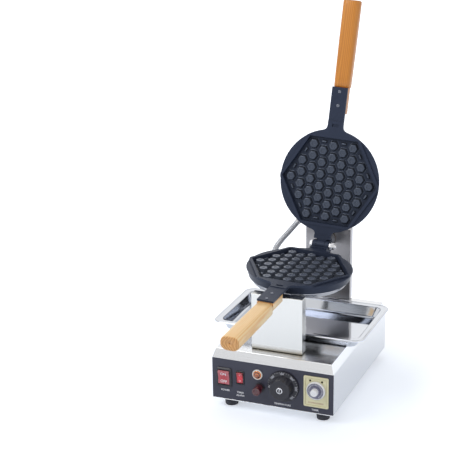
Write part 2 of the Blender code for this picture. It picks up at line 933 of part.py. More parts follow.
def boss_places():
    """Centres of the bosses: nine columns of a triangular pattern."""
    column_counts = (1, 4, 7, 6, 7, 6, 7, 4, 1)
    places = []
    for column, count in enumerate(column_counts):
        x = (column - len(column_counts) // 2) * boss_pitch * math.sqrt(3) / 2
        for row in range(count):
            places.append((x, hinge_to_centre + (row - (count - 1) / 2) * boss_pitch))
    return places


def edge_boss_places():
    """Two flat half bosses along each side of the recess: (x, u, turn)."""
    apothem = recess_corner_radius * math.cos(math.pi / 6) - edge_boss_inset - edge_boss_width / 2
    places = []
    for i in range(6):
        turn = math.pi / 6 + math.pi / 3 * i
        for shift in (-boss_pitch * math.sqrt(3) / 2, boss_pitch * math.sqrt(3) / 2):
            x = apothem * math.cos(turn) - shift * math.sin(turn)
            u = apothem * math.sin(turn) + shift * math.cos(turn)
            places.append((x, hinge_to_centre + u, turn))
    return places


def bosses(name, side, cast, parent):
    """All bosses of one plate, set a little into the floor of its recess."""
    floor = half_parting + recess_depth
    bm = bmesh.new()
    outer = boss_across / math.sqrt(3)
    inner = boss_top_across / math.sqrt(3)
    for place in boss_places():
        base = hexagon_outline(outer, place, boss_corner_cut)
        top = hexagon_outline(inner, place, boss_corner_cut)
        loops = flat_loops(base, (floor + sink,), side) + flat_loops(top, (floor - boss_height,), side)
        add_loft(bm, loops)
    for x, u, turn in edge_boss_places():
        half_l = edge_boss_length / 2
        half_w = edge_boss_width / 2
        flat = rounded_rectangle((-half_w, -half_l), (half_w, half_l), half_w, 1)
        spun = [
            (x + a * math.cos(turn) - b * math.sin(turn), u + a * math.sin(turn) + b * math.cos(turn))
            for a, b in flat
        ]
        add_loft(bm, flat_loops(spun, (floor + sink, floor - edge_boss_height), side))
    return finish(name, bm, cast, parent)


def prism_x(name, outline, x0, x1, finish_material, parent):
    """An (y, z) outline drawn out along X."""
    loops = [[Vector((x, y, z)) for y, z in outline] for x in (x0, x1)]
    return loft(name, loops, finish_material, parent)


def lug_outline(side, rear):
    """Side view (y, z) of a hinge lug: a round eye, drawn out to the arm on its own side only."""
    level = half_parting + gap * 2
    edge = math.sqrt(lug_radius ** 2 - level ** 2)
    turns = [2 * math.pi * i / (small_sides + 4) for i in range(small_sides + 4)]
    eye = [(lug_radius * math.cos(turn), lug_radius * math.sin(turn)) for turn in turns]
    own = [point for point in eye if point[1] > level]
    own += [(edge, level), (-lug_reach, level), (-lug_reach, lug_depth)]
    far = [point for point in eye if point[1] < level] + [(edge, level), (-edge, level)]
    if rear:
        own += [(cheek_rear, level), (cheek_rear, cheek_drop)]
        far += [(cheek_rear, level), (cheek_rear, -cheek_rise)]
    own = convex(own)
    far = convex(far)
    # Both outlines share the edge at that level, which is left out where they join.
    joined = [own[0], far[-1]] + far[:-1] + own[2:]
    return [(y, side * z) for y, z in joined]


def convex(points):
    """Convex outline of a set of (a, b) points, anticlockwise."""
    ordered = sorted(set(points))

    def chain(items):
        kept = []
        for point in items:
            while len(kept) > 1:
                (ax, ay), (bx, by) = kept[-2], kept[-1]
                if (bx - ax) * (point[1] - ay) - (by - ay) * (point[0] - ax) > 0:
                    break
                kept.pop()
            kept.append(point)
        return kept

    lower = chain(ordered)
    upper = chain(ordered[::-1])
    return lower[:-1] + upper[:-1]


def rim_cutter(name, side, cast, parent):
    """Four wedges that lower the plate's rim outside the slanted sides."""
    bm = bmesh.new()
    apothem = recess_corner_radius * math.cos(math.pi / 6) + rim_width
    far = plate_radius + cut_overrun
    for i in (0, 2, 3, 5):
        turn = math.pi / 6 + math.pi / 3 * i
        flat = [(apothem, -far), (far, -far), (far, far), (apothem, far)]
        spun = [
            (a * math.cos(turn) - b * math.sin(turn),
             hinge_to_centre + a * math.sin(turn) + b * math.cos(turn))
            for a, b in flat
        ]
        clipped = clip_band(spun)
        add_loft(bm, flat_loops(clipped, (-cut_overrun, half_parting + rim_drop), side))
    return finish(name, bm, cast, parent)


def clip_band(outline):
    """Keeps the part of a wedge that lies between the hexagon's own corners."""
    limit = recess_corner_radius * math.cos(math.pi / 6) + rim_width
    low = hinge_to_centre - limit
    high = hinge_to_centre + limit
    middle = sum(u for x, u in outline) / len(outline) > hinge_to_centre
    bounds = (hinge_to_centre + sink / 2, high) if middle else (low, hinge_to_centre - sink / 2)
    kept = []
    for i, (x0, u0) in enumerate(outline):
        x1, u1 = outline[(i + 1) % len(outline)]
        inside0 = bounds[0] <= u0 <= bounds[1]
        if inside0:
            kept.append((x0, u0))
        crossings = []
        for bound in bounds:
            if (u0 - bound) * (u1 - bound) < 0:
                share = (bound - u0) / (u1 - u0)
                crossings.append((share, (x0 + (x1 - x0) * share, bound)))
        kept += [point for share, point in sorted(crossings)]
    return kept


def round_hole(name, place, radius, length, finish_material, parent, sides=small_sides):
    """A round cutter along the Z of a place."""
    made = turned(name, [(radius, -length), (radius, length)], finish_material, place, parent, sides)
    return made


def rivet_places():
    """Distances of the two rivets from the hinge axis, by name."""
    return {"inner": rivet_inner_place, "outer": rivet_outer_place}


def make_plate(prefix, side, cast, parent):
    """One cast plate with its neck, arm, hinge eye, recess and bosses."""
    outline = plate_outline()
    plate = loft(prefix + "_plate", flat_loops(outline, (half_parting, neck_under), side), cast, parent)
    back_profile = [
        circle(plate_radius - plate_body_step, body_start, plate_sides),
        circle(plate_back_radius, plate_back, plate_sides),
    ]
    centre = Vector((0, -hinge_to_centre, 0))
    loops = [[Vector((p.x, p.y, side * p.z)) + centre for p in loop] for loop in back_profile]
    cut(plate, loft(prefix + "_plate_back", loops, cast, parent), "UNION")
    arm_low = half_point(-arm_half_width + sink, arm_end, body_start, side)
    arm_high = half_point(arm_half_width - sink, arm_start + sink, arm_thickness, side)
    low = [min(a, b) for a, b in zip(arm_low, arm_high)]
    high = [max(a, b) for a, b in zip(arm_low, arm_high)]
    cut(plate, box(prefix + "_arm", low, high, cast, parent), "UNION")
    add_hinge_eyes(prefix, plate, side, cast, parent)
    journal_loops = []
    for u in (journal_start, journal_start + journal_length):
        half_turn = [math.pi * i / small_sides for i in range(small_sides + 1)]
        journal_loops.append([
            half_point(journal_radius * math.cos(t), u, max(journal_radius * math.sin(t), body_start), side)
            for t in half_turn
        ])
    trimmed = [trim_journal(loop, side) for loop in journal_loops]
    cut(plate, loft(prefix + "_journal", trimmed, cast, parent), "UNION")
    cut_plate_front(prefix, plate, side, cast, parent)
    return plate


def trim_journal(loop, side):
    """Keeps the round part of the journal and squares its top inside the neck."""
    kept = [p for p in loop if abs(p.z) > body_start + sink]
    edge = math.sqrt(journal_radius ** 2 - (body_start + sink) ** 2) - sink
    first = Vector((min(edge, neck_half_width - sink), kept[0].y, side * body_start))
    last = Vector((-first.x, kept[0].y, side * body_start))
    return [first] + kept + [last]


def add_hinge_eyes(prefix, plate, side, cast, parent):
    """Hinge lugs: two outer ones with a yoke below, or one in the middle above."""
    lower = side < 0
    outline = lug_outline(side, lower)
    if lower:
        for number, direction in (("left", -1), ("right", 1)):
            x0, x1 = sorted((direction * (lug_split + gap), direction * (arm_half_width - sink / 2)))
            cheek = prism_x(prefix + "_lug_" + number, outline, x0, x1, cast, parent)
            cut(plate, cheek, "UNION")
        half = arm_half_width - sink
        floor = box(
            prefix + "_yoke_floor",
            (-half, -yoke_front, -yoke_floor_depth),
            (half, cheek_rear - sink, -yoke_floor_top),
            cast,
            parent,
        )
        cut(plate, floor, "UNION")
        flange = turned(
            prefix + "_flange",
            [(flange_radius, cheek_rear - sink * 2), (flange_radius, cheek_rear + flange_thickness)],
            cast,
            along((0, 1, 0), (0, 0, 0)),
            parent,
        )
        cut(plate, flange, "UNION")
    else:
        eye = prism_x(prefix + "_eye", outline, -lug_split + gap, lug_split - gap, cast, parent)
        cut(plate, eye, "UNION")
    bore = round_hole(
        prefix + "_pin_bore_cutter", along((1, 0, 0), (0, 0, 0)), pin_radius + gap,
        arm_half_width + cut_overrun, cast, parent, small_sides + 4,
    )
    cut(plate, bore)


def cut_plate_front(prefix, plate, side, cast, parent):
    """Lowered rim, recess with its bosses, stepped neck, slot and rivet holes."""
    cut(plate, rim_cutter(prefix + "_rim_cutter", side, cast, parent))
    floor = half_parting + recess_depth
    centre = (0.0, hinge_to_centre)
    top = hexagon_outline(recess_corner_radius + recess_draft, centre)
    bottom = hexagon_outline(recess_corner_radius - recess_draft, centre)
    pocket = flat_loops(top, (half_parting - cut_overrun / 4,), side) + flat_loops(bottom, (floor,), side)
    cut(plate, loft(prefix + "_recess_cutter", pocket, cast, parent))
    cut(plate, bosses(prefix + "_bosses", side, cast, parent), "UNION")
    half = neck_half_width + cut_overrun
    step = flat_loops(
        [(-half, neck_step), (half, neck_step), (half, neck_end + cut_overrun), (-half, neck_end + cut_overrun)],
        (-cut_overrun, half_parting + neck_drop),
        side,
    )
    slot = flat_loops(
        [(-slot_length / 2, slot_place - slot_width / 2), (slot_length / 2, slot_place - slot_width / 2),
         (slot_length / 2, slot_place + slot_width / 2), (-slot_length / 2, slot_place + slot_width / 2)],
        (-cut_overrun, half_parting + slot_depth),
        side,
    )
    bm = bmesh.new()
    add_loft(bm, step)
    add_loft(bm, slot)
    cut(plate, finish(prefix + "_neck_cutter", bm, cast, parent))
    bm = bmesh.new()
    for u in rivet_places().values():
        hole = [circle(rivet_radius + gap, w, small_sides, (0, -u)) for w in (-cut_overrun, plate_thickness)]
        add_loft(bm, [[Vector((p.x, p.y, side * p.z)) for p in loop] for loop in hole])
    cut(plate, finish(prefix + "_rivet_hole_cutter", bm, cast, parent))


def make_heater(prefix, side, steel, bright, black, parent):
    """Heater cover dish, tubular element in it and the conduit fitting."""
    centre = Vector((0, -hinge_to_centre, 0))
    floor = cover_start + heater_depth
    inner_floor = floor - heater_sheet
    profile = [
        (heater_floor_radius, floor),
        (heater_shoulder_radius, floor - heater_shoulder_drop),
        (heater_rim_radius, cover_start + heater_lip),
        (heater_rim_radius, cover_start),
        (heater_rim_radius - heater_sheet * 2, cover_start),
        (heater_shoulder_radius - heater_sheet, floor - heater_shoulder_drop - heater_sheet),
        (heater_floor_radius - heater_sheet, inner_floor),
    ]
    loops = [[Vector((p.x, p.y, side * p.z)) + centre for p in circle(r, h, heater_sides)] for r, h in profile]
    cover = loft(prefix + "_heater_cover", loops, steel, parent)
    hole = round_hole(
        prefix + "_fitting_hole_cutter", fitting_place(side, heater_rim_radius), fitting_spigot_radius + gap,
        heater_rim_radius - fitting_spigot_start, steel, parent, round_sides // 2 + 4,
    )
    cut(cover, hole)
    make_element(prefix, side, black, parent)
    make_fitting(prefix, side, bright, parent)


def fitting_direction(side):
    """Direction of the conduit fittings, seen flat, out of the plate's centre."""
    angle = lower_conduit_angle if side < 0 else upper_conduit_angle
    return Vector((-math.sin(angle), math.cos(angle), 0))


def fitting_place(side, reach):
    """Matrix at a distance from the plate's centre, Z outwards along the fitting."""
    out = fitting_direction(side)
    origin = Vector((0, -hinge_to_centre, side * conduit_depth)) + out * reach
    return along(out, origin)


def make_fitting(prefix, side, bright, parent):
    """Threaded conduit fitting: spigot through the cover, hexagon nut, ferrule."""
    place = fitting_place(side, 0)
    nut_end = fitting_nut_start + fitting_nut_length
    ferrule_end = nut_end + fitting_ferrule_length
    sides = small_sides
    loops = [
        circle(fitting_bore_radius, fitting_spigot_start, sides),
        circle(fitting_spigot_radius, fitting_spigot_start, sides),
        circle(fitting_spigot_radius, fitting_nut_start, sides),
        hex_loop(fitting_nut_across, fitting_nut_start),
        hex_loop(fitting_nut_across, nut_end),
        circle(fitting_ferrule_radius - gap, nut_end, sides),
        circle(fitting_ferrule_radius - gap, ferrule_end, sides),
        circle(fitting_bore_radius, ferrule_end, sides),
    ]
    made = loft(prefix + "_conduit_fitting", loops, bright, parent, ring=True)
    made.data.transform(place)
    return made


def hex_loop(across, height, sides=small_sides):
    """A hexagon drawn with as many points as a circle, for joining to one."""
    points = []
    for i in range(sides):
        turn = 2 * math.pi * i / sides
        off_flat = (turn % (math.pi / 3)) - math.pi / 6
        radius = across / 2 / math.cos(off_flat)
        points.append(Vector((radius * math.cos(turn), radius * math.sin(turn), height)))
    return points


def tube_loops(points, radii, sides):
    """Rings square to a path, carried along it without twist."""
    loops = []
    tangent = (points[1] - points[0]).normalized()
    normal = tangent.orthogonal().normalized()
    for i, point in enumerate(points):
        before = points[max(i - 1, 0)]
        after = points[min(i + 1, len(points) - 1)]
        new_tangent = (after - before).normalized()
        normal = (normal - new_tangent * normal.dot(new_tangent)).normalized()
        across = new_tangent.cross(normal)
        turns = [2 * math.pi * k / sides for k in range(sides)]
        loops.append([point + (normal * math.cos(t) + across * math.sin(t)) * radii[i] for t in turns])
    return loops


def make_element(prefix, side, black, parent):
    """Tubular heating element: a ring left open, its ends turned to the fitting."""
    w = side * (cover_start + element_tube_radius)
    out = fitting_direction(side)
    start = math.atan2(out.y, out.x)
    open_half = (2 * math.pi - element_sweep) / 2
    points = []
    for i in range(element_steps + 1):
        turn = start + open_half + element_sweep * i / element_steps
        points.append(Vector((element_radius * math.cos(turn), element_radius * math.sin(turn), w)))
    first = points[0] + out * element_lead
    last = points[-1] + out * element_lead
    centre = Vector((0, -hinge_to_centre, 0))
    path = [p + centre for p in [first] + points + [last]]
    loops = tube_loops(path, [element_tube_radius] * len(path), tube_sides - 2)
    return loft(prefix + "_heating_element", loops, black, parent)


def make_handle(prefix, side, wood, parent):
    """Turned and flattened wooden handle with a tongue under the metal neck."""
    tongue_top = neck_under + gap
    tongue_bottom = tongue_top + tongue_depth

    def section(u, half_width, w0, w1, radius):
        points = rounded_rectangle((-half_width, w0), (half_width, w1), radius)
        return [half_point(x, u, w, side) for x, w in points]

    grip_start = neck_end + gap
    ease = handle_end_round
    bottom = handle_top + handle_thickness
    small = handle_corner_radius / 3
    loops = [
        section(tongue_start, neck_half_width - gap, tongue_top, tongue_bottom, small),
        section(grip_start - gap, neck_half_width - gap, tongue_top, tongue_bottom, small),
        section(grip_start, handle_half_width, handle_top, bottom, handle_corner_radius),
        section(handle_end - ease, handle_end_half_width, handle_end_top, handle_end_bottom, handle_corner_radius),
        section(
            handle_end, handle_end_half_width - ease, handle_end_top + ease, handle_end_bottom - ease,
            handle_corner_radius,
        ),
    ]
    handle = loft(prefix + "_handle", loops, wood, parent)
    bm = bmesh.new()
    for u in rivet_places().values():
        hole = [circle(rivet_radius + gap, w, small_sides, (0, -u)) for w in (0, tongue_bottom + cut_overrun)]
        add_loft(bm, [[Vector((p.x, p.y, side * p.z)) for p in loop] for loop in hole])
    place = along((0, -1, 0), half_point(0, handle_end, (handle_end_top + handle_end_bottom) / 2, side))
    hole = [circle(handle_hole_radius, h, small_sides) for h in (-handle_hole_depth, cut_overrun)]
    add_loft(bm, [[place @ p for p in loop] for loop in hole])
    cut(handle, finish(prefix + "_handle_cutter", bm, wood, parent))
    make_rivets(prefix, side, tongue_bottom, parent)
    return handle


def make_rivets(prefix, side, tongue_bottom, parent):
    """Two steel rivets through the neck plate and the wooden tongue."""
    top = half_parting + neck_drop - gap
    bottom = tongue_bottom + gap
    profile = [
        (rivet_head_radius - rivet_head, top - rivet_head),
        (rivet_head_radius, top),
        (rivet_radius, top),
        (rivet_radius, bottom),
        (rivet_head_radius, bottom),
        (rivet_head_radius - rivet_head, bottom + rivet_head),
    ]
    for name, u in rivet_places().items():
        loops = [circle(r, w, small_sides, (0, -u)) for r, w in profile]
        loops = [[Vector((p.x, p.y, side * p.z)) for p in loop] for loop in loops]
        loft(prefix + "_rivet_" + name, loops, bpy.data.materials["bright_steel"], parent)


def make_hinge_pin(bright, parent):
    """Through bolt on the hinge axis with its acorn nut."""
    left = -arm_half_width - gap
    right = arm_half_width + gap
    bolt_end = right + pin_tail
    loops = [
        hex_loop(pin_head_across, left - pin_head_thickness),
        hex_loop(pin_head_across, left),
        circle(pin_radius, left, small_sides),
        circle(pin_radius, bolt_end, small_sides),
    ]
    pin = loft("hinge_pin", loops, bright, parent)
    pin.data.transform(along((1, 0, 0), (0, 0, 0)))
    bore = pin_radius + gap
    dome = acorn_length * acorn_dome_share
    loops = [
        circle(bore, bolt_end + gap, small_sides),
        circle(bore, right, small_sides),
        hex_loop(acorn_across, right),
        hex_loop(acorn_across, right + acorn_length - dome),
        circle(acorn_across / 2 * math.cos(math.pi / 6), right + acorn_length - dome / 2, small_sides),
        circle(acorn_across / 4, right + acorn_length, small_sides),
    ]
    nut = loft("hinge_acorn_nut", loops, bright, parent)
    nut.data.transform(along((1, 0, 0), (0, 0, 0)))


def make_shaft(bright, parent):
    """Hollow shaft behind the hinge, through the bearing, and its nut."""
    start = cheek_rear + flange_thickness + gap
    bearing = upright_front - hinge_setback
    bush_end = bearing + sheet + bush_tail
    nut_start = bush_end + gap
    nut_end = nut_start + nut_thickness
    collar = bearing - bush_flange - gap * 2
    bore = shaft_bore_radius
    profile = [
        (bore, start),
        (flange_radius, start),
        (flange_radius, collar),
        (shaft_radius, collar),
        (shaft_radius, nut_end + gap),
        (bore, nut_end + gap),
    ]
    turned("pivot_shaft", profile, bright, along((0, 1, 0), (0, 0, 0)), parent, ring=True)
    sides = small_sides * 2
    loops = [
        circle(shaft_radius + gap, nut_start, sides),
        hex_loop(nut_across, nut_start, sides),
        hex_loop(nut_across, nut_end, sides),
        circle(shaft_radius + gap, nut_end, sides),
    ]
    nut = loft("shaft_nut", loops, bright, parent, ring=True)
    nut.data.transform(along((0, 1, 0), (0, 0, 0)))


def conduit_path(lid_turn):
    """Centre line of the ribbed conduit in the mould's frame."""
    reach = fitting_nut_start + fitting_nut_length + fitting_ferrule_length + gap
    low = fitting_place(-1, reach)
    high = lid_turn @ fitting_place(1, reach)
    start, end = low.translation, high.translation
    out_low = (low.to_3x3() @ Vector((0, 0, 1))).normalized()
    out_high = (high.to_3x3() @ Vector((0, 0, 1))).normalized()
    b0 = start + out_low * conduit_straight
    b3 = end + out_high * conduit_straight
    b1 = b0 + out_low * conduit_reach
    b2 = b3 + out_high * conduit_reach
    curve = [
        b0 * (1 - t) ** 3 + b1 * 3 * t * (1 - t) ** 2 + b2 * 3 * t * t * (1 - t) + b3 * t ** 3
        for t in [i / conduit_curve_steps for i in range(conduit_curve_steps + 1)]
    ]
    return [start] + curve + [end]


def resample(points, count):
    """Evenly spaced points along a path."""
    lengths = [0.0]
    for a, b in zip(points, points[1:]):
        lengths.append(lengths[-1] + (b - a).length)
    made = []
    k = 0
    for i in range(count + 1):
        goal = lengths[-1] * i / count
        while k < len(points) - 2 and lengths[k + 1] < goal:
            k += 1
        share = (goal - lengths[k]) / (lengths[k + 1] - lengths[k])
        made.append(points[k].lerp(points[k + 1], share))
    return made, lengths[-1]


def make_conduit(grey, parent, lid_turn):
    """Ribbed metal conduit between the heater covers, with its bore."""
    path = conduit_path(lid_turn)
    total = resample(path, 2)[1]
    ribs = round(total / conduit_rib_pitch)
    outer, total = resample(path, ribs * 2)
    radii = [conduit_radius if i % 2 else conduit_groove_radius for i in range(len(outer))]
    inner, total = resample(path, ribs // 2)
    outer_loops = tube_loops(outer, radii, tube_sides)
    inner_loops = tube_loops(inner, [conduit_bore_radius] * len(inner), tube_sides)
    loft("ribbed_conduit", outer_loops + inner_loops[::-1], grey, parent, ring=True)
    print("conduit length", round(total, 4), "ribs", ribs)


def make_mould(cast, steel, bright, wood, wood_top, black, grey):
    """Everything that rolls: the two plates on their hinge, with the shaft."""
    mould = empty_frame("mould_frame", bpy.data.objects["machine_frame"])
    mould.location = (0, hinge_setback, axis_z)
    mould.rotation_euler = (0, rest_roll, 0)
    lid = empty_frame("lid_frame", mould)
    lid.rotation_euler = (-open_angle, 0, 0)
    halves = (("lower", -1, mould, wood), ("upper", 1, lid, wood_top))
    for prefix, side, parent, handle_wood in halves:
        make_plate(prefix, side, cast, parent)
        make_heater(prefix, side, steel, bright, black, parent)
        make_handle(prefix, side, handle_wood, parent)
    make_hinge_pin(bright, mould)
    make_shaft(bright, mould)
    make_conduit(grey, mould, Matrix.Rotation(-open_angle, 4, "X"))


def main():
    for old in list(bpy.data.objects):
        bpy.data.objects.remove(old)
    machine = empty_frame("machine_frame")
    machine.location = (0, -origin_setback, 0)
    steel = material("brushed_steel", (0.62, 0.62, 0.60), 0.32, 1.0)
    bright = material("bright_steel", (0.75, 0.75, 0.74), 0.15, 1.0)
    cast = material("coated_aluminium", (0.045, 0.052, 0.070), 0.45)
    black = material("black_plastic", (0.030, 0.030, 0.036), 0.40)
    rubber = material("rubber", (0.012, 0.012, 0.012), 0.80)
    white = material("white_plastic", (0.80, 0.79, 0.75), 0.35)
    cream = material("cream_plastic", (0.72, 0.67, 0.38), 0.40)
    red = material("power_red", (0.75, 0.12, 0.14), 0.25)
    dark_red = material("alarm_red", (0.32, 0.02, 0.04), 0.25)
    amber = material("amber_lens", (0.90, 0.35, 0.04), 0.20)
    brass = material("bearing_bronze", (0.60, 0.42, 0.20), 0.35, 1.0)
    wood = material("pale_varnished_wood", (0.82, 0.52, 0.27), 0.35)
    wood_top = material("orange_varnished_wood", (0.62, 0.26, 0.05), 0.35)
    grey = material("conduit_steel", (0.50, 0.50, 0.50), 0.35, 1.0)
    make_base(steel, rubber, black)
    make_panel(black, white, cream, steel, bright, red, amber, dark_red)
    make_supports(steel, bright, brass)
    make_tray(bright)
    make_mould(cast, steel, bright, wood, wood_top, black, grey)
    bpy.context.view_layer.update()


main()
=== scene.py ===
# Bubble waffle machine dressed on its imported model: finer forms, finishes, camera and light.
# Metres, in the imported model's frame: X to the right, Y from the panel to the hinge, Z up.
import bpy
import bmesh
import json
import math
from mathutils import Matrix, Vector
from mathutils.bvhtree import BVHTree


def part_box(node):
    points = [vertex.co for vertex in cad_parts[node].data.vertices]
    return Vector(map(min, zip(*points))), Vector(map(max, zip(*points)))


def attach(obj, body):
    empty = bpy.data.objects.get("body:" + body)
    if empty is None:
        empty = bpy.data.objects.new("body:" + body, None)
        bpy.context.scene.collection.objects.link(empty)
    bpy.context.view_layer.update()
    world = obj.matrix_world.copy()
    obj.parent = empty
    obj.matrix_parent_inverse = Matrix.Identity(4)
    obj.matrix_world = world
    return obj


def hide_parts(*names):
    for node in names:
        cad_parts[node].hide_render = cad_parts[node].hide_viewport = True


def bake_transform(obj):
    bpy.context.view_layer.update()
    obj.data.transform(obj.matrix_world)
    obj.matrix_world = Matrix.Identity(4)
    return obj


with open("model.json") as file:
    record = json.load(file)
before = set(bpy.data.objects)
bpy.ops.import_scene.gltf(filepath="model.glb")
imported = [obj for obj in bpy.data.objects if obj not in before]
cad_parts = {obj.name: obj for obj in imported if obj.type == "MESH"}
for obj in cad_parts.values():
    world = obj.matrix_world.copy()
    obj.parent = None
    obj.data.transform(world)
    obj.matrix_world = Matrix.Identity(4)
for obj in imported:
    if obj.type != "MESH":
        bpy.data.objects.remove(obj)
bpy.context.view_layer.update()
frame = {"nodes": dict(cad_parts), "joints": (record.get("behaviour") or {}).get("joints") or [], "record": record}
joints = {joint["name"]: joint for joint in frame["joints"]}
record = frame["record"]
body_of = {node: body for body, nodes in record["behaviour"]["bodies"].items() for node in nodes}
finishes = {}
trees = {}

# Sizes used all over
weld = 0.000004
gap = 0.0003
print_height = 0.00012
full_turn = 2 * math.pi

# Camera, from the fit to the photograph
photo_size = 470
photo_focus = 1391.5
photo_centre = (288.6, 305.4)
sensor_width = 36
aim = Vector((-0.0318, 0.0707, 0.1600))
camera_distance = 2.8245
camera_azimuth = math.radians(20.1)
camera_elevation = math.radians(22.2)

# Light: name, place, size and watts of each lamp, then the levels of sky, room and paper
lamps = (
    ("key_lamp", (-1.6, -1.7, 2.4), (1.6, 1.6), 32),
    ("fill_lamp", (2.2, -1.0, 1.3), (1.6, 1.6), 4),
    ("rim_lamp", (-1.3, 3.0, 1.5), (1.8, 1.4), 1),
)
sky_level = 0.6
room_level = 0.8
mirrored_share = 0.7
sweep_near = 0.24
sweep_far = 0.56
sweep_near_glow = 0.36
sweep_far_glow = 0.8
sweep_reach = 9.0

# Where the two halves turn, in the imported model's own frame
hinge_place = Vector(joints["lid_hinge"]["pos_m"])
rest_roll = math.radians(2.4)
open_angle = math.radians(102.4)
mould_frame = Matrix.Translation(hinge_place) @ Matrix.Rotation(rest_roll, 4, "Y")
lid_frame = mould_frame @ Matrix.Rotation(-open_angle, 4, "X")
halves = (("lower", -1, mould_frame, "mould"), ("upper", 1, lid_frame, "lid"))

# Plates; u runs from the hinge towards the handle and w away from the parting plane
half_parting = 0.0002
hinge_to_centre = 0.1314
recess_corner_radius = 0.1000
recess_depth = 0.0090
recess_draft = 0.0015
boss_pitch = 0.0242
boss_across = 0.0198
boss_top_across = 0.0142
boss_height = 0.0074
boss_columns = 9
boss_rings = 3.01
boss_corner_cut = 0.0011
boss_round = 0.0012
boss_root = 0.0009
boss_dish = 0.0008
boss_dish_across = 0.0068
corner_shares = (0.0, 0.33, 0.67, 1.0)
recess_clearance = 0.0001
edge_boss_length = 0.0112
edge_boss_width = 0.0050
edge_boss_height = 0.0045
edge_boss_inset = 0.0050
plate_edge_round = 0.0009
rim_width = 0.0070
rim_step = 0.0021
rim_cut_radius = 0.1300

# Heater covers and the ribbed conduit between them
plate_thickness = 0.0198
heater_rim_radius = 0.0990
heater_shoulder_radius = 0.0945
heater_floor_radius = 0.0880
heater_depth = 0.0112
heater_lip = 0.0012
heater_shoulder_drop = 0.0025
heater_sheet = 0.0010
heater_press = 0.0020
cover_screw_circle = 0.0420
cover_screw_radius = 0.0042
conduit_radius = 0.0060
conduit_groove_radius = 0.0052
conduit_rib_pitch = 0.0034
conduit_straight = 0.0065
conduit_reach = 0.0400
conduit_angles = {-1: math.radians(42), 1: math.radians(34)}
conduit_depth = 0.0260
conduit_start = 0.1163
conduit_steps = 200

# Handles
neck_half_width = 0.0165
neck_under = 0.0052
neck_end = 0.3230
tongue_start = 0.2700
tongue_depth = 0.0165
handle_end = 0.4970
handle_top_drop = 0.0060
handle_thickness = 0.0250
handle_end_thickness = 0.0280
handle_half_width = 0.0165
handle_end_half_width = 0.0185
handle_corner_radius = 0.0075
handle_end_corner_radius = 0.0125
handle_end_round = 0.0034
handle_lead = 0.0014
handle_sections = 8
handle_hole_round = 0.0006
tongue_round = 0.0025
handle_hole_radius = 0.0020
handle_hole_depth = 0.0080

# Tray and feet
tray_sheet = 0.0010
tray_lip = 0.0140
tray_corner_radius = 0.0140
tray_draft = 0.0060
tray_lip_fold = 0.0030
tray_lip_round = 0.0025
tray_bead = 0.0052
tray_bead_rise = 0.0011
tray_floor_round = 0.0045
foot_recess_radius = 0.0050
foot_recess_depth = 0.0040
foot_edge = 0.0016
foot_draw = 0.0015

# Thermostat knob
skirt_radius = 0.0320
skirt_thickness = 0.0035
skirt_bevel = 0.0012
knob_radius = 0.0215
knob_neck_radius = 0.0235
knob_length = 0.0185
knob_edge = 0.0015
knob_dish = 0.0006
knob_dish_radius = 0.0180
knob_lobes = 12
flute_steps = 12
knob_lobe_share = 0.05
cap_radius = 0.0064
cap_thickness = 0.0012
cap_mark_radius = 0.0045
cap_mark_bar = 0.0015
cap_mark_turn = math.radians(-6)
spindle_bore_radius = 0.0033
spindle_engagement = 0.0090
skirt_first_angle = 188
skirt_step_angle = 47
number_radius = 0.0270
number_size = 0.0056
tick_radius = 0.0300
tick_length = 0.0012
tick_width = 0.0005

# Timer
timer_frame_thickness = 0.0022
timer_corner_radius = 0.0030
timer_border = 0.0034
timer_groove_width = 0.0012
timer_groove_depth = 0.0016
timer_screw_x = 0.0120
timer_screw_rise = 0.0232
timer_screw_radius = 0.0020
timer_mark_pitch = 0.0024
timer_mark_height = 0.0030
timer_mark_drop = 0.0232
timer_mark_width = 0.0009
dial_ring_radius = 0.0192
dial_ring_width = 0.0030
dial_ring_slope = 0.0016
dial_ring_proud = 0.0045
dial_radius = 0.0160
dial_thickness = 0.0025
dial_edge = 0.0012
timer_knob_radius = 0.0105
timer_tick_length = 0.0026
timer_tick_width = 0.0008
timer_cap_radius = 0.0034
timer_knurls = 36
knurl_share = 0.08
timer_knob_length = 0.0120
timer_hub_knurls = 18
timer_hub_radius = 0.0074
spindle_hole_radius = 0.0042

# Lamps, switch marks, labels and small screws
pilot_radius = 0.0105
pilot_proud = 0.0028
pilot_edge = 0.0012
pilot_lens_radius = 0.0084
pilot_lens_proud = 0.0047
pilot_stem_radius = 0.0080
pilot_stem_length = 0.0140
lamp_radius = 0.0088
lamp_length = 0.0220
lamp_collar = 0.0015
lamp_edge = 0.0015
lamp_draft = 0.0004
lamp_face_radius = 0.0058
switch_mark_size = 0.0075
switch_mark_share = 0.27
label_size = 0.0050
label_lean = 0.0020
label_line = 0.0062
letter_weight_share = 0.016
letter_spacing_share = 1.05
power_label_rise = 0.0184
alarm_label_rise = 0.0145
knob_label_rise = 0.0067
timer_label_rise = 0.0058
bottom_screw_radius = 0.0028
bottom_screw_inset = 0.0090
cover_edge_inset = 0.0060

# Rounded edges of the pieces that keep their packed form
housing_round = 0.0010
channel_round = 0.0009
thin_sheet_round = 0.0004
bezel_round = 0.0006
rocker_round = 0.0005
small_round = 0.0003
tube_round = 0.0002

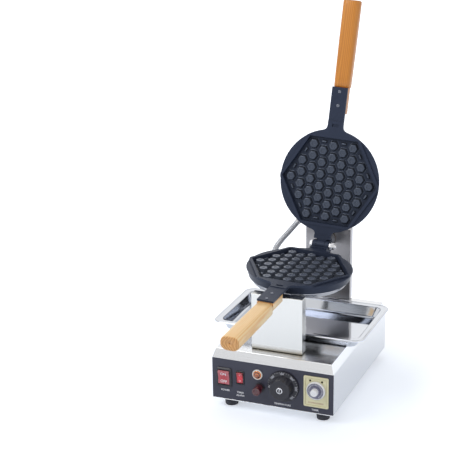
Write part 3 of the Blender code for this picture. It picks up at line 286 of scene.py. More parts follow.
# Grain and relief of the finishes; nearly all of a noise lies within its span
noise_span = {"From Min": 0.3, "From Max": 0.7}
brush_width = 0.0009
brush_relief = 0.0000008
brushed_level = (90, 1, 1)
brushed_deep = (1, 90, 1)
brushed_upright = (1, 1, 90)
# Heights of the brown darkening at a sheet's foot and of the painted contact shadow in its joint
foot_tint_height = 0.0060
contact_shadow_height = 0.0010
polish_smear = 0.02
press_wave = 0.05
press_relief = 0.00035
cast_patch = 0.03
boss_patch = 0.006
cast_skin = 0.0014
cast_relief = 0.00005
film_patch = 0.06
film_grit = 0.0012
mould_patch = 0.012
mould_grit = 0.0009
mould_relief = 0.00002
rubber_relief = 0.00005
lens_facet = 0.0035
lens_middle_radii = (0.0036, 0.0050)
lens_edge_radii = (0.0064, 0.0070)
handling_mark = 0.004
wood_ring_pitch = 0.002618
wood_heart = (0.019, 0, 0.021)
wood_streak = 0.0009
wood_streaks_drawn = (1, 40, 1)
wood_figure = 0.011
wood_figure_drawn = (1, 9, 1)
wood_relief = 0.00003


def rgb(code):
    """Linear colour of an sRGB hex code."""
    parts = [int(code[i:i + 2], 16) / 255 for i in (1, 3, 5)]
    return tuple(c / 12.92 if c <= 0.04045 else ((c + 0.055) / 1.055) ** 2.4 for c in parts) + (1.0,)


def connect(tree, node, inputs):
    """Gives a node its inputs: values, sockets, or other nodes for their first live output."""
    for name, value in dict(inputs).items():
        if isinstance(value, bpy.types.Node):
            value = next(socket for socket in value.outputs if socket.enabled)
        if isinstance(value, bpy.types.NodeSocket):
            tree.links.new(value, node.inputs[name])
        else:
            node.inputs[name].default_value = value
    return node


def add(tree, kind, inputs=(), **settings):
    """Adds a node with its settings and inputs."""
    made = tree.nodes.new(kind)
    for name, value in settings.items():
        setattr(made, name, value)
    return connect(tree, made, inputs)


def start_material(name, colour, roughness, metallic=0.0, sockets=()):
    """A Principled material, with the sockets that are the same all over."""
    made = bpy.data.materials.new(name)
    made.use_nodes = True
    tree = made.node_tree
    shader = tree.nodes["Principled BSDF"]
    connect(tree, shader, {"Base Color": rgb(colour), "Roughness": roughness, "Metallic": metallic})
    connect(tree, shader, sockets)
    return made, tree, shader, add(tree, "ShaderNodeTexCoord").outputs["Object"]


def grain(tree, coords, size, detail=3.0, drawn=(1, 1, 1)):
    """Noise whose grain has a real size in metres, drawn out along an axis if asked."""
    scale = tuple(1 / (size * share) for share in drawn)
    mapped = add(tree, "ShaderNodeMapping", {"Vector": coords, "Scale": scale})
    return add(tree, "ShaderNodeTexNoise", {"Vector": mapped, "Scale": 1.0, "Detail": detail})


def tone(tree, shader, pattern, first, second):
    """Lets a finish's colour wander between two hex tones with a pattern."""
    mixed = add(tree, "ShaderNodeMix", {0: pattern, 6: rgb(first), 7: rgb(second)}, data_type="RGBA")
    connect(tree, shader, {"Base Color": mixed})
    return mixed


def overlay(tree, shader, mask, under, code):
    """Lays a hex colour over a finish's colour where a mask says."""
    mixed = add(tree, "ShaderNodeMix", {0: mask, 6: under, 7: rgb(code)}, data_type="RGBA")
    connect(tree, shader, {"Base Color": mixed})
    return mixed


def gloss(tree, shader, pattern, low, high):
    """Lets a finish's roughness wander between two values with a noise."""
    spread = add(tree, "ShaderNodeMapRange", {"Value": pattern, **noise_span, "To Min": low, "To Max": high})
    connect(tree, shader, {"Roughness": spread})
    return spread


def relief(tree, shader, pattern, depth):
    """Gives a finish a pattern as relief of a real depth in metres."""
    bump = add(tree, "ShaderNodeBump", {"Height": pattern, "Distance": depth, "Strength": 1.0})
    connect(tree, shader, {"Normal": bump})


def turned_to(tree, facing):
    """How far the surface is turned to a direction, from -1 to 1."""
    normal = add(tree, "ShaderNodeTexCoord").outputs["Normal"]
    return add(tree, "ShaderNodeVectorMath", {0: normal, 1: facing}, operation="DOT_PRODUCT")


def brushed_stainless(name, front_lines, low_tone, high_tone, roughness):
    """Cold-rolled stainless sheet, brushed after folding: fine straight lines and a soft gloss."""
    made, tree, shader, coords = start_material(name, low_tone, roughness, 1.0)
    # Real brushing is 0.1 mm wide; it is drawn 0.9 mm wide so that it shows.
    across = grain(tree, coords, brush_width, 2.0, front_lines)
    lengthways = grain(tree, coords, brush_width, 2.0, brushed_deep)
    size = add(tree, "ShaderNodeMath", {0: turned_to(tree, (1, 0, 0))}, operation="ABSOLUTE")
    sideways = add(tree, "ShaderNodeMath", {0: size, 1: 0.6}, operation="GREATER_THAN")
    lines = add(tree, "ShaderNodeMix", {0: sideways, 2: across, 3: lengthways})
    gloss(tree, shader, lines, roughness - 0.02, roughness + 0.03)
    tone(tree, shader, lines, low_tone, high_tone)
    relief(tree, shader, lines, brush_relief)
    return made


def darkened_at_foot(made, node):
    """A sheet's foot darkened: brown above, and black in the joint as a painted contact shadow."""
    tree = made.node_tree
    shader = tree.nodes["Principled BSDF"]
    clean = shader.inputs["Base Color"].links[0].from_socket
    coords = add(tree, "ShaderNodeTexCoord").outputs["Object"]
    height = add(tree, "ShaderNodeSeparateXYZ", {0: coords}).outputs["Z"]
    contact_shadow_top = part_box(node)[0].z + contact_shadow_height
    tint_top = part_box(node)[0].z + foot_tint_height
    tint = add(tree, "ShaderNodeMapRange", {"Value": height, "From Min": tint_top, "From Max": contact_shadow_top})
    # Painted contact shadow: the lowest millimetre of the sheet is black where it meets the deck.
    joint = add(tree, "ShaderNodeMath", {0: height, 1: contact_shadow_top}, operation="LESS_THAN")
    overlay(tree, shader, joint, overlay(tree, shader, tint, clean, "#8E887A"), "#1E1B14")
    return made


def polished_stainless():
    """Pressed and polished stainless: a mirror with slight waves from the press."""
    made, tree, shader, coords = start_material("Mirror polished stainless", "#D3D6DC", 0.06, 1.0)
    gloss(tree, shader, grain(tree, coords, polish_smear, 4.0), 0.04, 0.11)
    relief(tree, shader, grain(tree, coords, press_wave, 1.0), press_relief)
    return made


def coated_cast_aluminium(name, facing, recess_shade_tone):
    """Cast aluminium under a baked non-stick coat: satin slate grey, painted shade on the recess floor."""
    made, tree, shader, coords = start_material(
        name, "#252B3B", 0.4, sockets={"IOR": 1.42, "Specular Tint": rgb("#C3CDE4")},
    )
    patches = tone(tree, shader, grain(tree, coords, cast_patch), "#272D3D", "#303748")
    level = add(tree, "ShaderNodeVectorMath", {0: coords, 1: facing}, operation="DOT_PRODUCT")
    floor = hinge_place.dot(facing) - recess_depth
    sunk = add(tree, "ShaderNodeMapRange", {
        "Value": level, "From Min": floor + recess_draft, "From Max": floor + recess_draft / 3,
    })
    flat = add(tree, "ShaderNodeMath", {0: turned_to(tree, facing), 1: 0.9}, operation="GREATER_THAN")
    # Painted shade: the flat floor of the recess, between the bosses, is darkened.
    recess_shade = add(tree, "ShaderNodeMath", {0: sunk, 1: flat}, operation="MULTIPLY")
    overlay(tree, shader, recess_shade, patches, recess_shade_tone)
    skin = grain(tree, coords, cast_skin)
    gloss(tree, shader, skin, 0.36, 0.46)
    relief(tree, shader, skin, cast_relief)
    return made


def boss_coat_painted_light_and_shade(name, facing, dark, pale):
    """The same coat on the bosses: tops in the given tones, painted shade, near black, down their sides."""
    made, tree, shader, coords = start_material(
        name, "#3A3F4B", 0.3, sockets={"IOR": 1.9, "Specular Tint": rgb("#C9D4EA")},
    )
    patches = tone(tree, shader, grain(tree, coords, boss_patch, 2.0), dark, pale)
    side = add(tree, "ShaderNodeMapRange", {
        "Value": turned_to(tree, facing), "From Min": 0.95, "From Max": 0.6,
    })
    # Painted shade: the sides of each boss are darkened to near black.
    overlay(tree, shader, side, patches, "#0E1119")
    skin = grain(tree, coords, cast_skin)
    rubbed = add(tree, "ShaderNodeMix", {0: side, 2: gloss(tree, shader, skin, 0.2, 0.3), 3: 0.75})
    connect(tree, shader, {"Roughness": rubbed})
    relief(tree, shader, skin, cast_relief)
    return made


def printed_panel():
    """Steel panel under a printed charcoal film: flat, satin and slightly blue."""
    made, tree, shader, coords = start_material("Printed charcoal panel film", "#2F3040", 0.4)
    tone(tree, shader, grain(tree, coords, film_patch, 2.0), "#2B2C3C", "#353646")
    relief(tree, shader, grain(tree, coords, film_grit, 2.0), mould_relief)
    return made


def moulded(name, colour, shade, roughness, coat=0.0, depth=mould_relief):
    """Moulded plastic, rubber or thick ink: an even colour with a fine grain."""
    made, tree, shader, coords = start_material(name, colour, roughness, sockets={"Coat Weight": coat})
    tone(tree, shader, grain(tree, coords, mould_patch, 2.0), colour, shade)
    fine = grain(tree, coords, mould_grit, 2.0)
    gloss(tree, shader, fine, roughness - 0.05, roughness + 0.07)
    relief(tree, shader, fine, depth)
    return made


def reach_from_middle(tree, coords, node, scale):
    """Distance from a piece's middle, along X and Z, each times a scale."""
    low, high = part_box(node)
    centred = add(tree, "ShaderNodeMapping", {"Vector": coords, "Location": -(low + high) / 2})
    flat = add(tree, "ShaderNodeVectorMath", {0: centred, 1: scale}, operation="MULTIPLY")
    return add(tree, "ShaderNodeVectorMath", {0: flat}, operation="LENGTH")


def rocker_with_painted_glow(name, node, middle, edge):
    """Clear moulded polycarbonate; its colour is strongest in the middle, painted light as if lit from within."""
    made, tree, shader, coords = start_material(name, middle, 0.16, sockets={"Coat Weight": 0.8})
    low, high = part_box(node)
    half = (high - low) / 2
    reach = reach_from_middle(tree, coords, node, (1 / half.x, 0, 1 / half.z))
    share = add(tree, "ShaderNodeMapRange", {"Value": reach, "From Min": 0.45, "From Max": 1.2})
    # Painted light: the middle is coloured as lit through the plastic, the edges as less lit.
    tone(tree, shader, share, middle, edge)
    return made


def amber_lens():
    """Moulded amber styrene over a dark socket: a dark band; the bright rim and orange facets are painted light.
    """
    made, tree, shader, coords = start_material("Amber lens", "#D06A1A", 0.12, sockets={"Coat Weight": 0.9})
    # Painted light: bright and dark facets stand for light broken by the lens.
    facets = add(tree, "ShaderNodeMapRange", {"Value": grain(tree, coords, lens_facet, 1.0), **noise_span})
    colour = tone(tree, shader, facets, "#7A2A0E", "#E07C20")
    reach = reach_from_middle(tree, coords, "pilot_lamp_lens", (1, 0, 1))
    # The bright outer ring is painted light; the darker band is the socket behind the lens.
    for radii, code in ((lens_middle_radii, "#4A140C"), (lens_edge_radii, "#E8893A")):
        ring = add(tree, "ShaderNodeMapRange", {"Value": reach, "From Min": radii[0], "From Max": radii[1]})
        colour = overlay(tree, shader, ring, colour, code)
    return made


def plain_metal(name, colour, shade, roughness):
    """Turned, wound or drawn metal with light handling marks."""
    made, tree, shader, coords = start_material(name, colour, roughness, 1.0)
    marks = grain(tree, coords, handling_mark)
    tone(tree, shader, marks, colour, shade)
    gloss(tree, shader, marks, roughness - 0.06, roughness + 0.08)
    return made


def varnished_wood(name, place, light, dark, end_tone):
    """Clear varnish on turned wood: growth rings cut lengthways, darker end grain."""
    made, tree, shader, coords = start_material(
        name, light, 0.38, sockets={"Coat Weight": 0.25, "Coat Roughness": 0.2},
    )
    back = place.inverted()
    turned = {"Vector": coords, "Rotation": back.to_euler(), "Location": back.translation}
    local = add(tree, "ShaderNodeMapping", turned)
    # The heart of the log lies off the handle's side. At scale 1 a ring is a twentieth of a turn wide.
    heart = add(tree, "ShaderNodeMapping", {
        "Vector": local, "Location": wood_heart, "Rotation": (0.03, 0, 0.02), "Scale": (1, 0.12, 1),
    })
    wave = add(tree, "ShaderNodeTexWave", {
        "Vector": heart, "Scale": full_turn / 20 / wood_ring_pitch, "Distortion": 3.0, "Detail": 3.0,
        "Detail Scale": 0.6,
    }, wave_type="RINGS", rings_direction="Y")
    rings = wave.outputs["Fac"]
    streaks = grain(tree, local, wood_streak, drawn=wood_streaks_drawn)
    figure = grain(tree, local, wood_figure, 2.0, wood_figure_drawn)
    mixed = add(tree, "ShaderNodeMix", {0: 0.45, 2: rings, 3: streaks})
    mixed = add(tree, "ShaderNodeMix", {0: 0.35, 2: mixed, 3: figure})
    cut_along = add(tree, "ShaderNodeMapRange", {"Value": mixed, **noise_span})
    cut_across = add(tree, "ShaderNodeMapRange", {"Value": rings, **noise_span})
    face = tone(tree, shader, cut_along, light, dark)
    sawn = tone(tree, shader, cut_across, end_tone, dark)
    lengthways = (place.to_3x3() @ Vector((0, 1, 0))).normalized()
    size = add(tree, "ShaderNodeMath", {0: turned_to(tree, lengthways)}, operation="ABSOLUTE")
    end = add(tree, "ShaderNodeMapRange", {"Value": size, "From Min": 0.35, "From Max": 0.85})
    colour = add(tree, "ShaderNodeMix", {0: end, 6: face, 7: sawn}, data_type="RGBA")
    connect(tree, shader, {"Base Color": colour})
    relief(tree, shader, streaks, wood_relief)
    return made


def make_finishes():
    """Every finish by the name that the pieces use."""
    up = mould_frame.to_3x3() @ Vector((0, 0, 1))
    down = lid_frame.to_3x3() @ Vector((0, 0, -1))
    support = brushed_stainless(
        "Brushed stainless support sheet", brushed_upright, "#CDCDCB", "#D8D8D6", 0.2,
    )
    finishes.update({
        "housing": brushed_stainless(
            "Brushed stainless housing sheet", brushed_level, "#E0E1E3", "#EAEBED", 0.2,
        ),
        # The front support's sheet is darkened at its foot and carries a painted contact shadow.
        "upright": darkened_at_foot(support, "front_support"),
        # The rear upright's darker steel tone is painted shade, for the shade of the plates over it.
        "rear": brushed_stainless(
            "Stainless channel in painted shade", brushed_upright, "#A6A4A6", "#B3B1B3", 0.3,
        ),
        "dish": brushed_stainless("Pressed stainless dish", brushed_level, "#BFC1C7", "#CDCFD5", 0.16),
        "mirror": polished_stainless(),
        "satin": plain_metal("Satin plated steel", "#C8C8CC", "#D4D4D6", 0.18),
        "shaft": plain_metal("Turned shaft steel", "#7E8086", "#8C8E94", 0.3),
        "screw": plain_metal("Zinc plated screw steel", "#B4B5B8", "#C4C4C6", 0.28),
        "dark_screw": plain_metal("Blackened steel screws", "#2E2A1E", "#3C3728", 0.4),
        "rivet": plain_metal("Blued steel rivets", "#6E727D", "#7E828D", 0.2),
        # The recess floor's painted shade is near black below and lighter above.
        "lower_coat": coated_cast_aluminium("Non-stick coated casting below", up, "#0C1018"),
        "upper_coat": coated_cast_aluminium("Non-stick coated casting above", down, "#242A38"),
        # Paler tones on the bosses below are painted light, darker ones on the bosses above painted shade.
        "lower_bosses": boss_coat_painted_light_and_shade("Boss coat below in painted light and shade", up, "#4C5260", "#595F6D"),
        "upper_bosses": boss_coat_painted_light_and_shade("Boss coat above in painted shade", down, "#262C38", "#2D3442"),
        "panel": printed_panel(),
        "black": moulded("Moulded black ABS", "#22222A", "#292931", 0.36),
        "knob": moulded("Moulded black phenolic", "#1D1D26", "#25252E", 0.3),
        "rubber": moulded("Moulded black rubber", "#2C2C33", "#34343C", 0.6, depth=rubber_relief),
        "white": moulded("Moulded white ABS", "#E6E4DF", "#EFEDE9", 0.3),
        "clear_white": moulded("Milky clear styrene", "#EDEEF0", "#F5F5F7", 0.2, coat=0.3),
        "dial": moulded("Blue-grey printed dial", "#747388", "#808096", 0.34),
        "cream": moulded("Moulded cream ABS", "#DED8B0", "#E6E0BC", 0.3),
        "window": rocker_with_painted_glow("Pink polycarbonate rocker", "power_rocker", "#B82434", "#B4606A"),
        "red": rocker_with_painted_glow("Clear red rocker", "alarm_rocker", "#E01230", "#860C1E"),
        "cap": moulded("Dark red lamp cap", "#4A0C18", "#581322", 0.14, coat=0.9),
        "amber": amber_lens(),
        "bronze": plain_metal("Oil-darkened bearing bronze", "#544C44", "#625A50", 0.36),
        "element": plain_metal("Oxidised heating tube", "#5A5550", "#6B6258", 0.5),
        "conduit": plain_metal("Wound steel conduit strip", "#9FA1A6", "#AFB1B6", 0.32),
        "ink": moulded("White panel ink", "#E9E9EE", "#F2F2F5", 0.5),
        "pink_ink": moulded("Pale pink rocker ink", "#EFC0C4", "#F4CDD0", 0.5),
        "grey_ink": moulded("Grey skirt ink", "#C9CBD6", "#D3D5DE", 0.5),
        "rust_ink": moulded("Red-brown scale ink", "#94583F", "#A4664C", 0.5),
        "pale_wood": varnished_wood("Varnished beech", mould_frame, "#FFE0AA", "#F6C27E", "#9A5600"),
        "orange_wood": varnished_wood("Varnished red beech", lid_frame, "#DA8D30", "#C67A22", "#A46420"),
    })


def put_in_scene(name, data):
    """An object at the origin for a mesh, a curve, a lamp or the camera."""
    made = bpy.data.objects.new(name, data)
    bpy.context.scene.collection.objects.link(made)
    return made


def dressed(name, mesh, material, smooth_angle=35):
    """A mesh in the scene with its material and smooth shading."""
    mesh.materials.clear()
    mesh.materials.append(material)
    mesh.shade_smooth()
    mesh.set_sharp_from_angle(angle=math.radians(smooth_angle))
    return put_in_scene(name, mesh)


def seat(made, node=None, body=None):
    """Puts a piece on the body it rides on and hides the CAD node it replaces."""
    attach(made, body or body_of[node])
    if node:
        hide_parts(node)
    return made


def closed_mesh(bm, name="part"):
    """A mesh with merged doubles whose faces point outwards."""
    bmesh.ops.remove_doubles(bm, verts=bm.verts, dist=weld)
    bmesh.ops.recalc_face_normals(bm, faces=bm.faces)
    mesh = bpy.data.meshes.new(name)
    bm.to_mesh(mesh)
    bm.free()
    return mesh


def piece(name, bm, finish, node=None, body=None, smooth_angle=35):
    """Closes a bmesh into a finished piece."""
    return seat(dressed(name, closed_mesh(bm, name), finishes[finish], smooth_angle), node, body)


def part_object(bm):
    """A pattern that copies are made of, or a cutter."""
    return put_in_scene("part", closed_mesh(bm))


def keep_flats(made):
    """Keeps broad faces flat next to their rounded edges."""
    made.modifiers.new("Flat faces", "WEIGHTED_NORMAL").keep_sharp = True


def merged(mesh):
    """A shape with its loose triangles merged into flat faces."""
    bm = bmesh.new()
    bm.from_mesh(mesh)
    bmesh.ops.remove_doubles(bm, verts=bm.verts, dist=weld)
    bmesh.ops.dissolve_limit(bm, angle_limit=math.radians(1), verts=bm.verts, edges=bm.edges)
    return bm


def round_edges(bm, width, segments=2):
    """Rounds the sharp edges of a shape."""
    sharp = [edge for edge in bm.edges if edge.is_manifold and edge.calc_face_angle(0) > math.radians(32)]
    bmesh.ops.bevel(
        bm, geom=sharp, offset=width, segments=segments, profile=0.5, affect="EDGES", clamp_overlap=True,
    )
    return bm


def plain_mesh(made):
    """The plain mesh of an object with its modifiers."""
    bpy.context.view_layer.update()
    graph = bpy.context.evaluated_depsgraph_get()
    return bpy.data.meshes.new_from_object(made.evaluated_get(graph))


def carve(made, cutter):
    """Cuts one shape with another and removes the cutter."""
    modifier = made.modifiers.new("Cut", "BOOLEAN")
    modifier.operation = "DIFFERENCE"
    modifier.solver = "EXACT"
    modifier.object = cutter
    made.data = plain_mesh(made)
    made.modifiers.remove(modifier)
    bpy.data.objects.remove(cutter)
    return made


def polar(radius, turn, height=0.0):
    """A point at a radius, a turn round Z and a height."""
    return Vector((radius * math.cos(turn), radius * math.sin(turn), height))


def loops_skin(loops, ring=False, bm=None):
    """Joins loops of equal point counts into a skin, closed by end faces or into a ring."""
    bm = bm or bmesh.new()
    rows = [[bm.verts.new(point) for point in loop] for loop in loops]
    pairs = list(zip(rows, rows[1:]))
    if ring:
        pairs.append((rows[-1], rows[0]))
    else:
        bm.faces.new(rows[0][::-1])
        bm.faces.new(rows[-1])
    for low, high in pairs:
        for i in range(len(low)):
            j = (i + 1) % len(low)
            bm.faces.new((low[i], low[j], high[j], high[i]))
    return bm


def turned(profile, place, sides, ring=False):
    """A turned shape from (radius, height) pairs."""
    turns = [full_turn * i / sides for i in range(sides)]
    loops = [[place @ polar(radius, turn, height) for turn in turns] for radius, height in profile]
    return loops_skin(loops, ring)


def fluted(radius, height, lobes, share, place):
    """A loop round Z with shallow flutes between its lobes, put in its place."""
    turns = [full_turn * i / (lobes * flute_steps) for i in range(lobes * flute_steps)]
    points = []
    for turn in turns:
        flute = share * (0.5 - 0.5 * math.cos(turn * lobes))
        points.append(place @ polar(radius * (1 - flute), turn, height))
    return points


def rounded_rectangle(low, high, radius, steps):
    """Points (a, b) of a rectangle with round corners, anticlockwise."""
    radius = min(radius, (high[0] - low[0]) / 2, (high[1] - low[1]) / 2)
    points = []
    for a, b, start in (
        (high[0] - radius, low[1] + radius, -90), (high[0] - radius, high[1] - radius, 0),
        (low[0] + radius, high[1] - radius, 90), (low[0] + radius, low[1] + radius, 180),
    ):
        for i in range(steps + 1):
            bend = polar(radius, math.radians(start + 90 * i / steps))
            points.append((a + bend.x, b + bend.y))
    return points


def block(length, width, height, low=0.0):
    """A block centred on the Z axis."""
    a, b = length / 2, width / 2
    corners = ((-a, -b), (a, -b), (a, b), (-a, b))
    return part_object(loops_skin([[Vector((x, y, z)) for x, y in corners] for z in (low, height)]))


def along(axis, origin):
    """A matrix that turns Z onto an axis and moves to an origin."""
    return Matrix.Translation(Vector(origin)) @ Vector(axis).to_track_quat("Z", "Y").to_matrix().to_4x4()


def half_point(x, u, w, side):
    """A point of one half: u runs from the hinge to the handle, w outwards."""
    return Vector((x, -u, side * w))


def plate_centre(place, side, w, outwards):
    """A place on a plate's axis, Z out of the half or into its recess."""
    turn = math.pi if (side > 0) != outwards else 0
    return place @ Matrix.Translation((0, -hinge_to_centre, side * w)) @ Matrix.Rotation(turn, 4, "Y")


def start_tree(name, sockets):
    """A geometry tree with named inputs, and a way to end it."""
    tree = bpy.data.node_groups.new(name, "GeometryNodeTree")
    tree.interface.new_socket("Geometry", in_out="OUTPUT", socket_type="NodeSocketGeometry")
    tree.interface.new_socket("Geometry", in_out="INPUT", socket_type="NodeSocketGeometry")
    for socket_name, kind in sockets.items():
        tree.interface.new_socket(socket_name, in_out="INPUT", socket_type="NodeSocket" + kind)
    tree.interface.new_socket("Finish", in_out="INPUT", socket_type="NodeSocketMaterial")
    given = add(tree, "NodeGroupInput").outputs

    def end(geometry):
        real = add(tree, "GeometryNodeRealizeInstances", {0: geometry})
        finished = add(tree, "GeometryNodeSetMaterial", {0: real, "Material": given["Finish"]})
        add(tree, "NodeGroupOutput", {0: finished})
        return tree

    return tree, given, end


def grown(holder, tree, values):
    """Runs a geometry tree on an object and returns the plain mesh that it makes."""
    modifier = holder.modifiers.new("Grow", "NODES")
    modifier.node_group = tree
    for item in tree.interface.items_tree:
        if item.in_out == "INPUT" and item.name in values:
            modifier[item.identifier] = values[item.name]
    mesh = plain_mesh(holder)
    holder.modifiers.remove(modifier)
    bpy.data.objects.remove(holder)
    return mesh


def conduit_tree():
    """Ribs along a path: the tube's radius swells and shrinks once for each rib."""
    tree, given, end = start_tree("Ribbed conduit", {
        "Outer Radius": "Float", "Groove Radius": "Float", "Rib Pitch": "Float", "Sides": "Int",
    })
    step = add(tree, "ShaderNodeMath", {0: given["Rib Pitch"], 1: 6.0}, operation="DIVIDE")
    curve = add(tree, "GeometryNodeMeshToCurve", {0: given["Geometry"]})
    even = add(tree, "GeometryNodeResampleCurve", {"Curve": curve, "Length": step}, mode="LENGTH")
    length = add(tree, "GeometryNodeSplineParameter").outputs["Length"]
    ribs = add(tree, "ShaderNodeMath", {0: length, 1: given["Rib Pitch"]}, operation="DIVIDE")
    angle = add(tree, "ShaderNodeMath", {0: ribs, 1: full_turn}, operation="MULTIPLY")
    wave = add(tree, "ShaderNodeMath", {0: angle}, operation="SINE")
    radius = add(tree, "ShaderNodeMapRange", {
        "Value": wave, "From Min": -0.8, "From Max": 0.8,
        "To Min": given["Groove Radius"], "To Max": given["Outer Radius"],
    })
    sized = add(tree, "GeometryNodeSetCurveRadius", {"Curve": even, "Radius": radius})
    ring = add(tree, "GeometryNodeCurvePrimitiveCircle", {"Resolution": given["Sides"], "Radius": 1.0})
    return end(add(tree, "GeometryNodeCurveToMesh", {
        "Curve": sized, "Profile Curve": ring, "Fill Caps": True, "Scale": radius,
    }))


def arc_tree():
    """Copies of a part on an arc, each turned to face outwards."""
    tree, given, end = start_tree("Copies on an arc", {
        "Part": "Object", "Radius": "Float", "Count": "Int", "Start": "Float", "Sweep": "Float",
    })
    arc = add(tree, "GeometryNodeCurveArc", {
        "Resolution": given["Count"], "Radius": given["Radius"], "Start Angle": given["Start"],
        "Sweep Angle": given["Sweep"],
    })
    points = add(tree, "GeometryNodeCurveToPoints", {0: arc}, mode="EVALUATED")
    place = add(tree, "GeometryNodeInputPosition")
    turn = add(tree, "FunctionNodeAlignRotationToVector", {"Vector": place}, axis="X", pivot_axis="Z")
    part = add(tree, "GeometryNodeObjectInfo", {"Object": given["Part"]}).outputs["Geometry"]
    copies = {"Points": points, "Instance": part, "Rotation": turn}
    return end(add(tree, "GeometryNodeInstanceOnPoints", copies))


def field_tree():
    """Honeycomb of copies that fills a hexagon: columns side by side, every other one half a pitch on."""
    tree, given, end = start_tree("Honeycomb of bosses", {
        "Part": "Object", "Pitch": "Float", "Columns": "Int", "Rings": "Float",
    })
    column_share = math.sqrt(3) / 2
    last = add(tree, "ShaderNodeMath", {0: given["Columns"], 1: 1.0}, operation="SUBTRACT")
    grid = add(tree, "GeometryNodeMeshGrid", {
        "Size X": last, "Size Y": last, "Vertices X": given["Columns"], "Vertices Y": given["Columns"],
    })
    cell = add(tree, "GeometryNodeInputPosition")
    column = add(tree, "ShaderNodeSeparateXYZ", {0: cell}).outputs["X"]
    odd = add(tree, "ShaderNodeMath", {0: column, 1: 1.0}, operation="PINGPONG")
    half = add(tree, "ShaderNodeMath", {0: odd, 1: 0.5}, operation="MULTIPLY")
    shift = add(tree, "ShaderNodeCombineXYZ", {1: half})
    spaced = {0: cell, 1: (column_share, 1, 0), 2: shift}
    unit_place = add(tree, "ShaderNodeVectorMath", spaced, operation="MULTIPLY_ADD")
    corner = add(tree, "ShaderNodeVectorMath", {0: unit_place, "Scale": given["Pitch"]}, operation="SCALE")
    placed = add(tree, "GeometryNodeSetPosition", {"Geometry": grid, "Position": corner})
    # From here on the points stand at their places, so these read the places themselves.
    away = add(tree, "ShaderNodeVectorMath", {0: cell}, operation="ABSOLUTE")
    slant = add(tree, "ShaderNodeVectorMath", {0: away, 1: (column_share, 0.5, 0)}, operation="DOT_PRODUCT")
    straight = add(tree, "ShaderNodeSeparateXYZ", {0: away}).outputs["Y"]
    reach = add(tree, "ShaderNodeMath", {0: slant, 1: straight}, operation="MAXIMUM")
    limit = add(tree, "ShaderNodeMath", {0: given["Rings"], 1: given["Pitch"]}, operation="MULTIPLY")
    kept = add(tree, "ShaderNodeMath", {0: reach, 1: limit}, operation="LESS_THAN")
    part = add(tree, "GeometryNodeObjectInfo", {"Object": given["Part"]}).outputs["Geometry"]
    copies = {"Points": placed, "Selection": kept, "Instance": part}
    return end(add(tree, "GeometryNodeInstanceOnPoints", copies))


def points_tree():
    """A copy of a part on each point of a mesh."""
    tree, given, end = start_tree("Copies on points", {"Part": "Object"})
    part = add(tree, "GeometryNodeObjectInfo", {"Object": given["Part"]}).outputs["Geometry"]
    return end(add(tree, "GeometryNodeInstanceOnPoints", {"Points": given["Geometry"], "Instance": part}))


def line_holder(points=(), edges=()):
    """An object that only carries points or a line."""
    mesh = bpy.data.meshes.new("line")
    mesh.from_pydata(points, edges, [])
    return put_in_scene("line", mesh)


def copied(name, tree, part, place, finish, body, points=(), slot=None, smooth_angle=35, **values):
    """A piece made of copies of a part, put in its place."""
    values = {key.capitalize(): value for key, value in values.items()}
    values.update({"Part": part, "Finish": finishes[finish]})
    mesh = grown(line_holder(points), trees[tree], values)
    bpy.data.objects.remove(part)
    mesh.transform(place)
    return seat(dressed(name, mesh, finishes[finish], smooth_angle), body=body)


def conduit_path():
    """Centre line of the conduit: straight out of each fitting, then one smooth bend."""
    ends = []
    for prefix, side, place, body in halves:
        angle = conduit_angles[side]
        out = Vector((-math.sin(angle), math.cos(angle), 0))
        middle = Vector((0, -hinge_to_centre, side * conduit_depth))
        fitting = place @ along(out, middle + out * conduit_start)
        start = fitting.translation
        ahead = (fitting.to_3x3() @ Vector((0, 0, 1))).normalized()
        leave = start + ahead * conduit_straight
        ends.append((start, leave, leave + ahead * conduit_reach))
    (start, a, b), (end, d, c) = ends
    steps = [i / conduit_steps for i in range(conduit_steps + 1)]
    bend = [
        a * (1 - t) ** 3 + b * 3 * t * (1 - t) ** 2 + c * 3 * t * t * (1 - t) + d * t ** 3
        for t in steps
    ]
    return [start] + bend + [end]


def make_conduit():
    """Ribbed metal conduit that carries the wires from one heater to the other."""
    path = conduit_path()
    holder = line_holder(path, [(i, i + 1) for i in range(len(path) - 1)])
    mesh = grown(holder, conduit_tree(), {
        "Outer Radius": conduit_radius, "Groove Radius": conduit_groove_radius,
        "Rib Pitch": conduit_rib_pitch, "Sides": 28, "Finish": finishes["conduit"],
    })
    made = dressed("conduit", mesh, finishes["conduit"], 60)
    length = sum((b - a).length for a, b in zip(path, path[1:]))
    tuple(path[0])
    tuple(path[-1])
    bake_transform(made)
    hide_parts("ribbed_conduit")
    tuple(path[0])


def hexagon(across, height):
    """Loop of a hexagon with corners on the X axis, each rounded by a curve."""
    cut = min(boss_corner_cut, across / 4)
    tips = [polar(across / math.sqrt(3), full_turn * i / 6, height) for i in range(6)]
    points = []
    for i, tip in enumerate(tips):
        before = tip + (tips[i - 1] - tip).normalized() * cut
        after = tip + (tips[(i + 1) % 6] - tip).normalized() * cut
        for t in corner_shares:
            points.append(before * (1 - t) ** 2 + tip * 2 * t * (1 - t) + after * t * t)
    return points


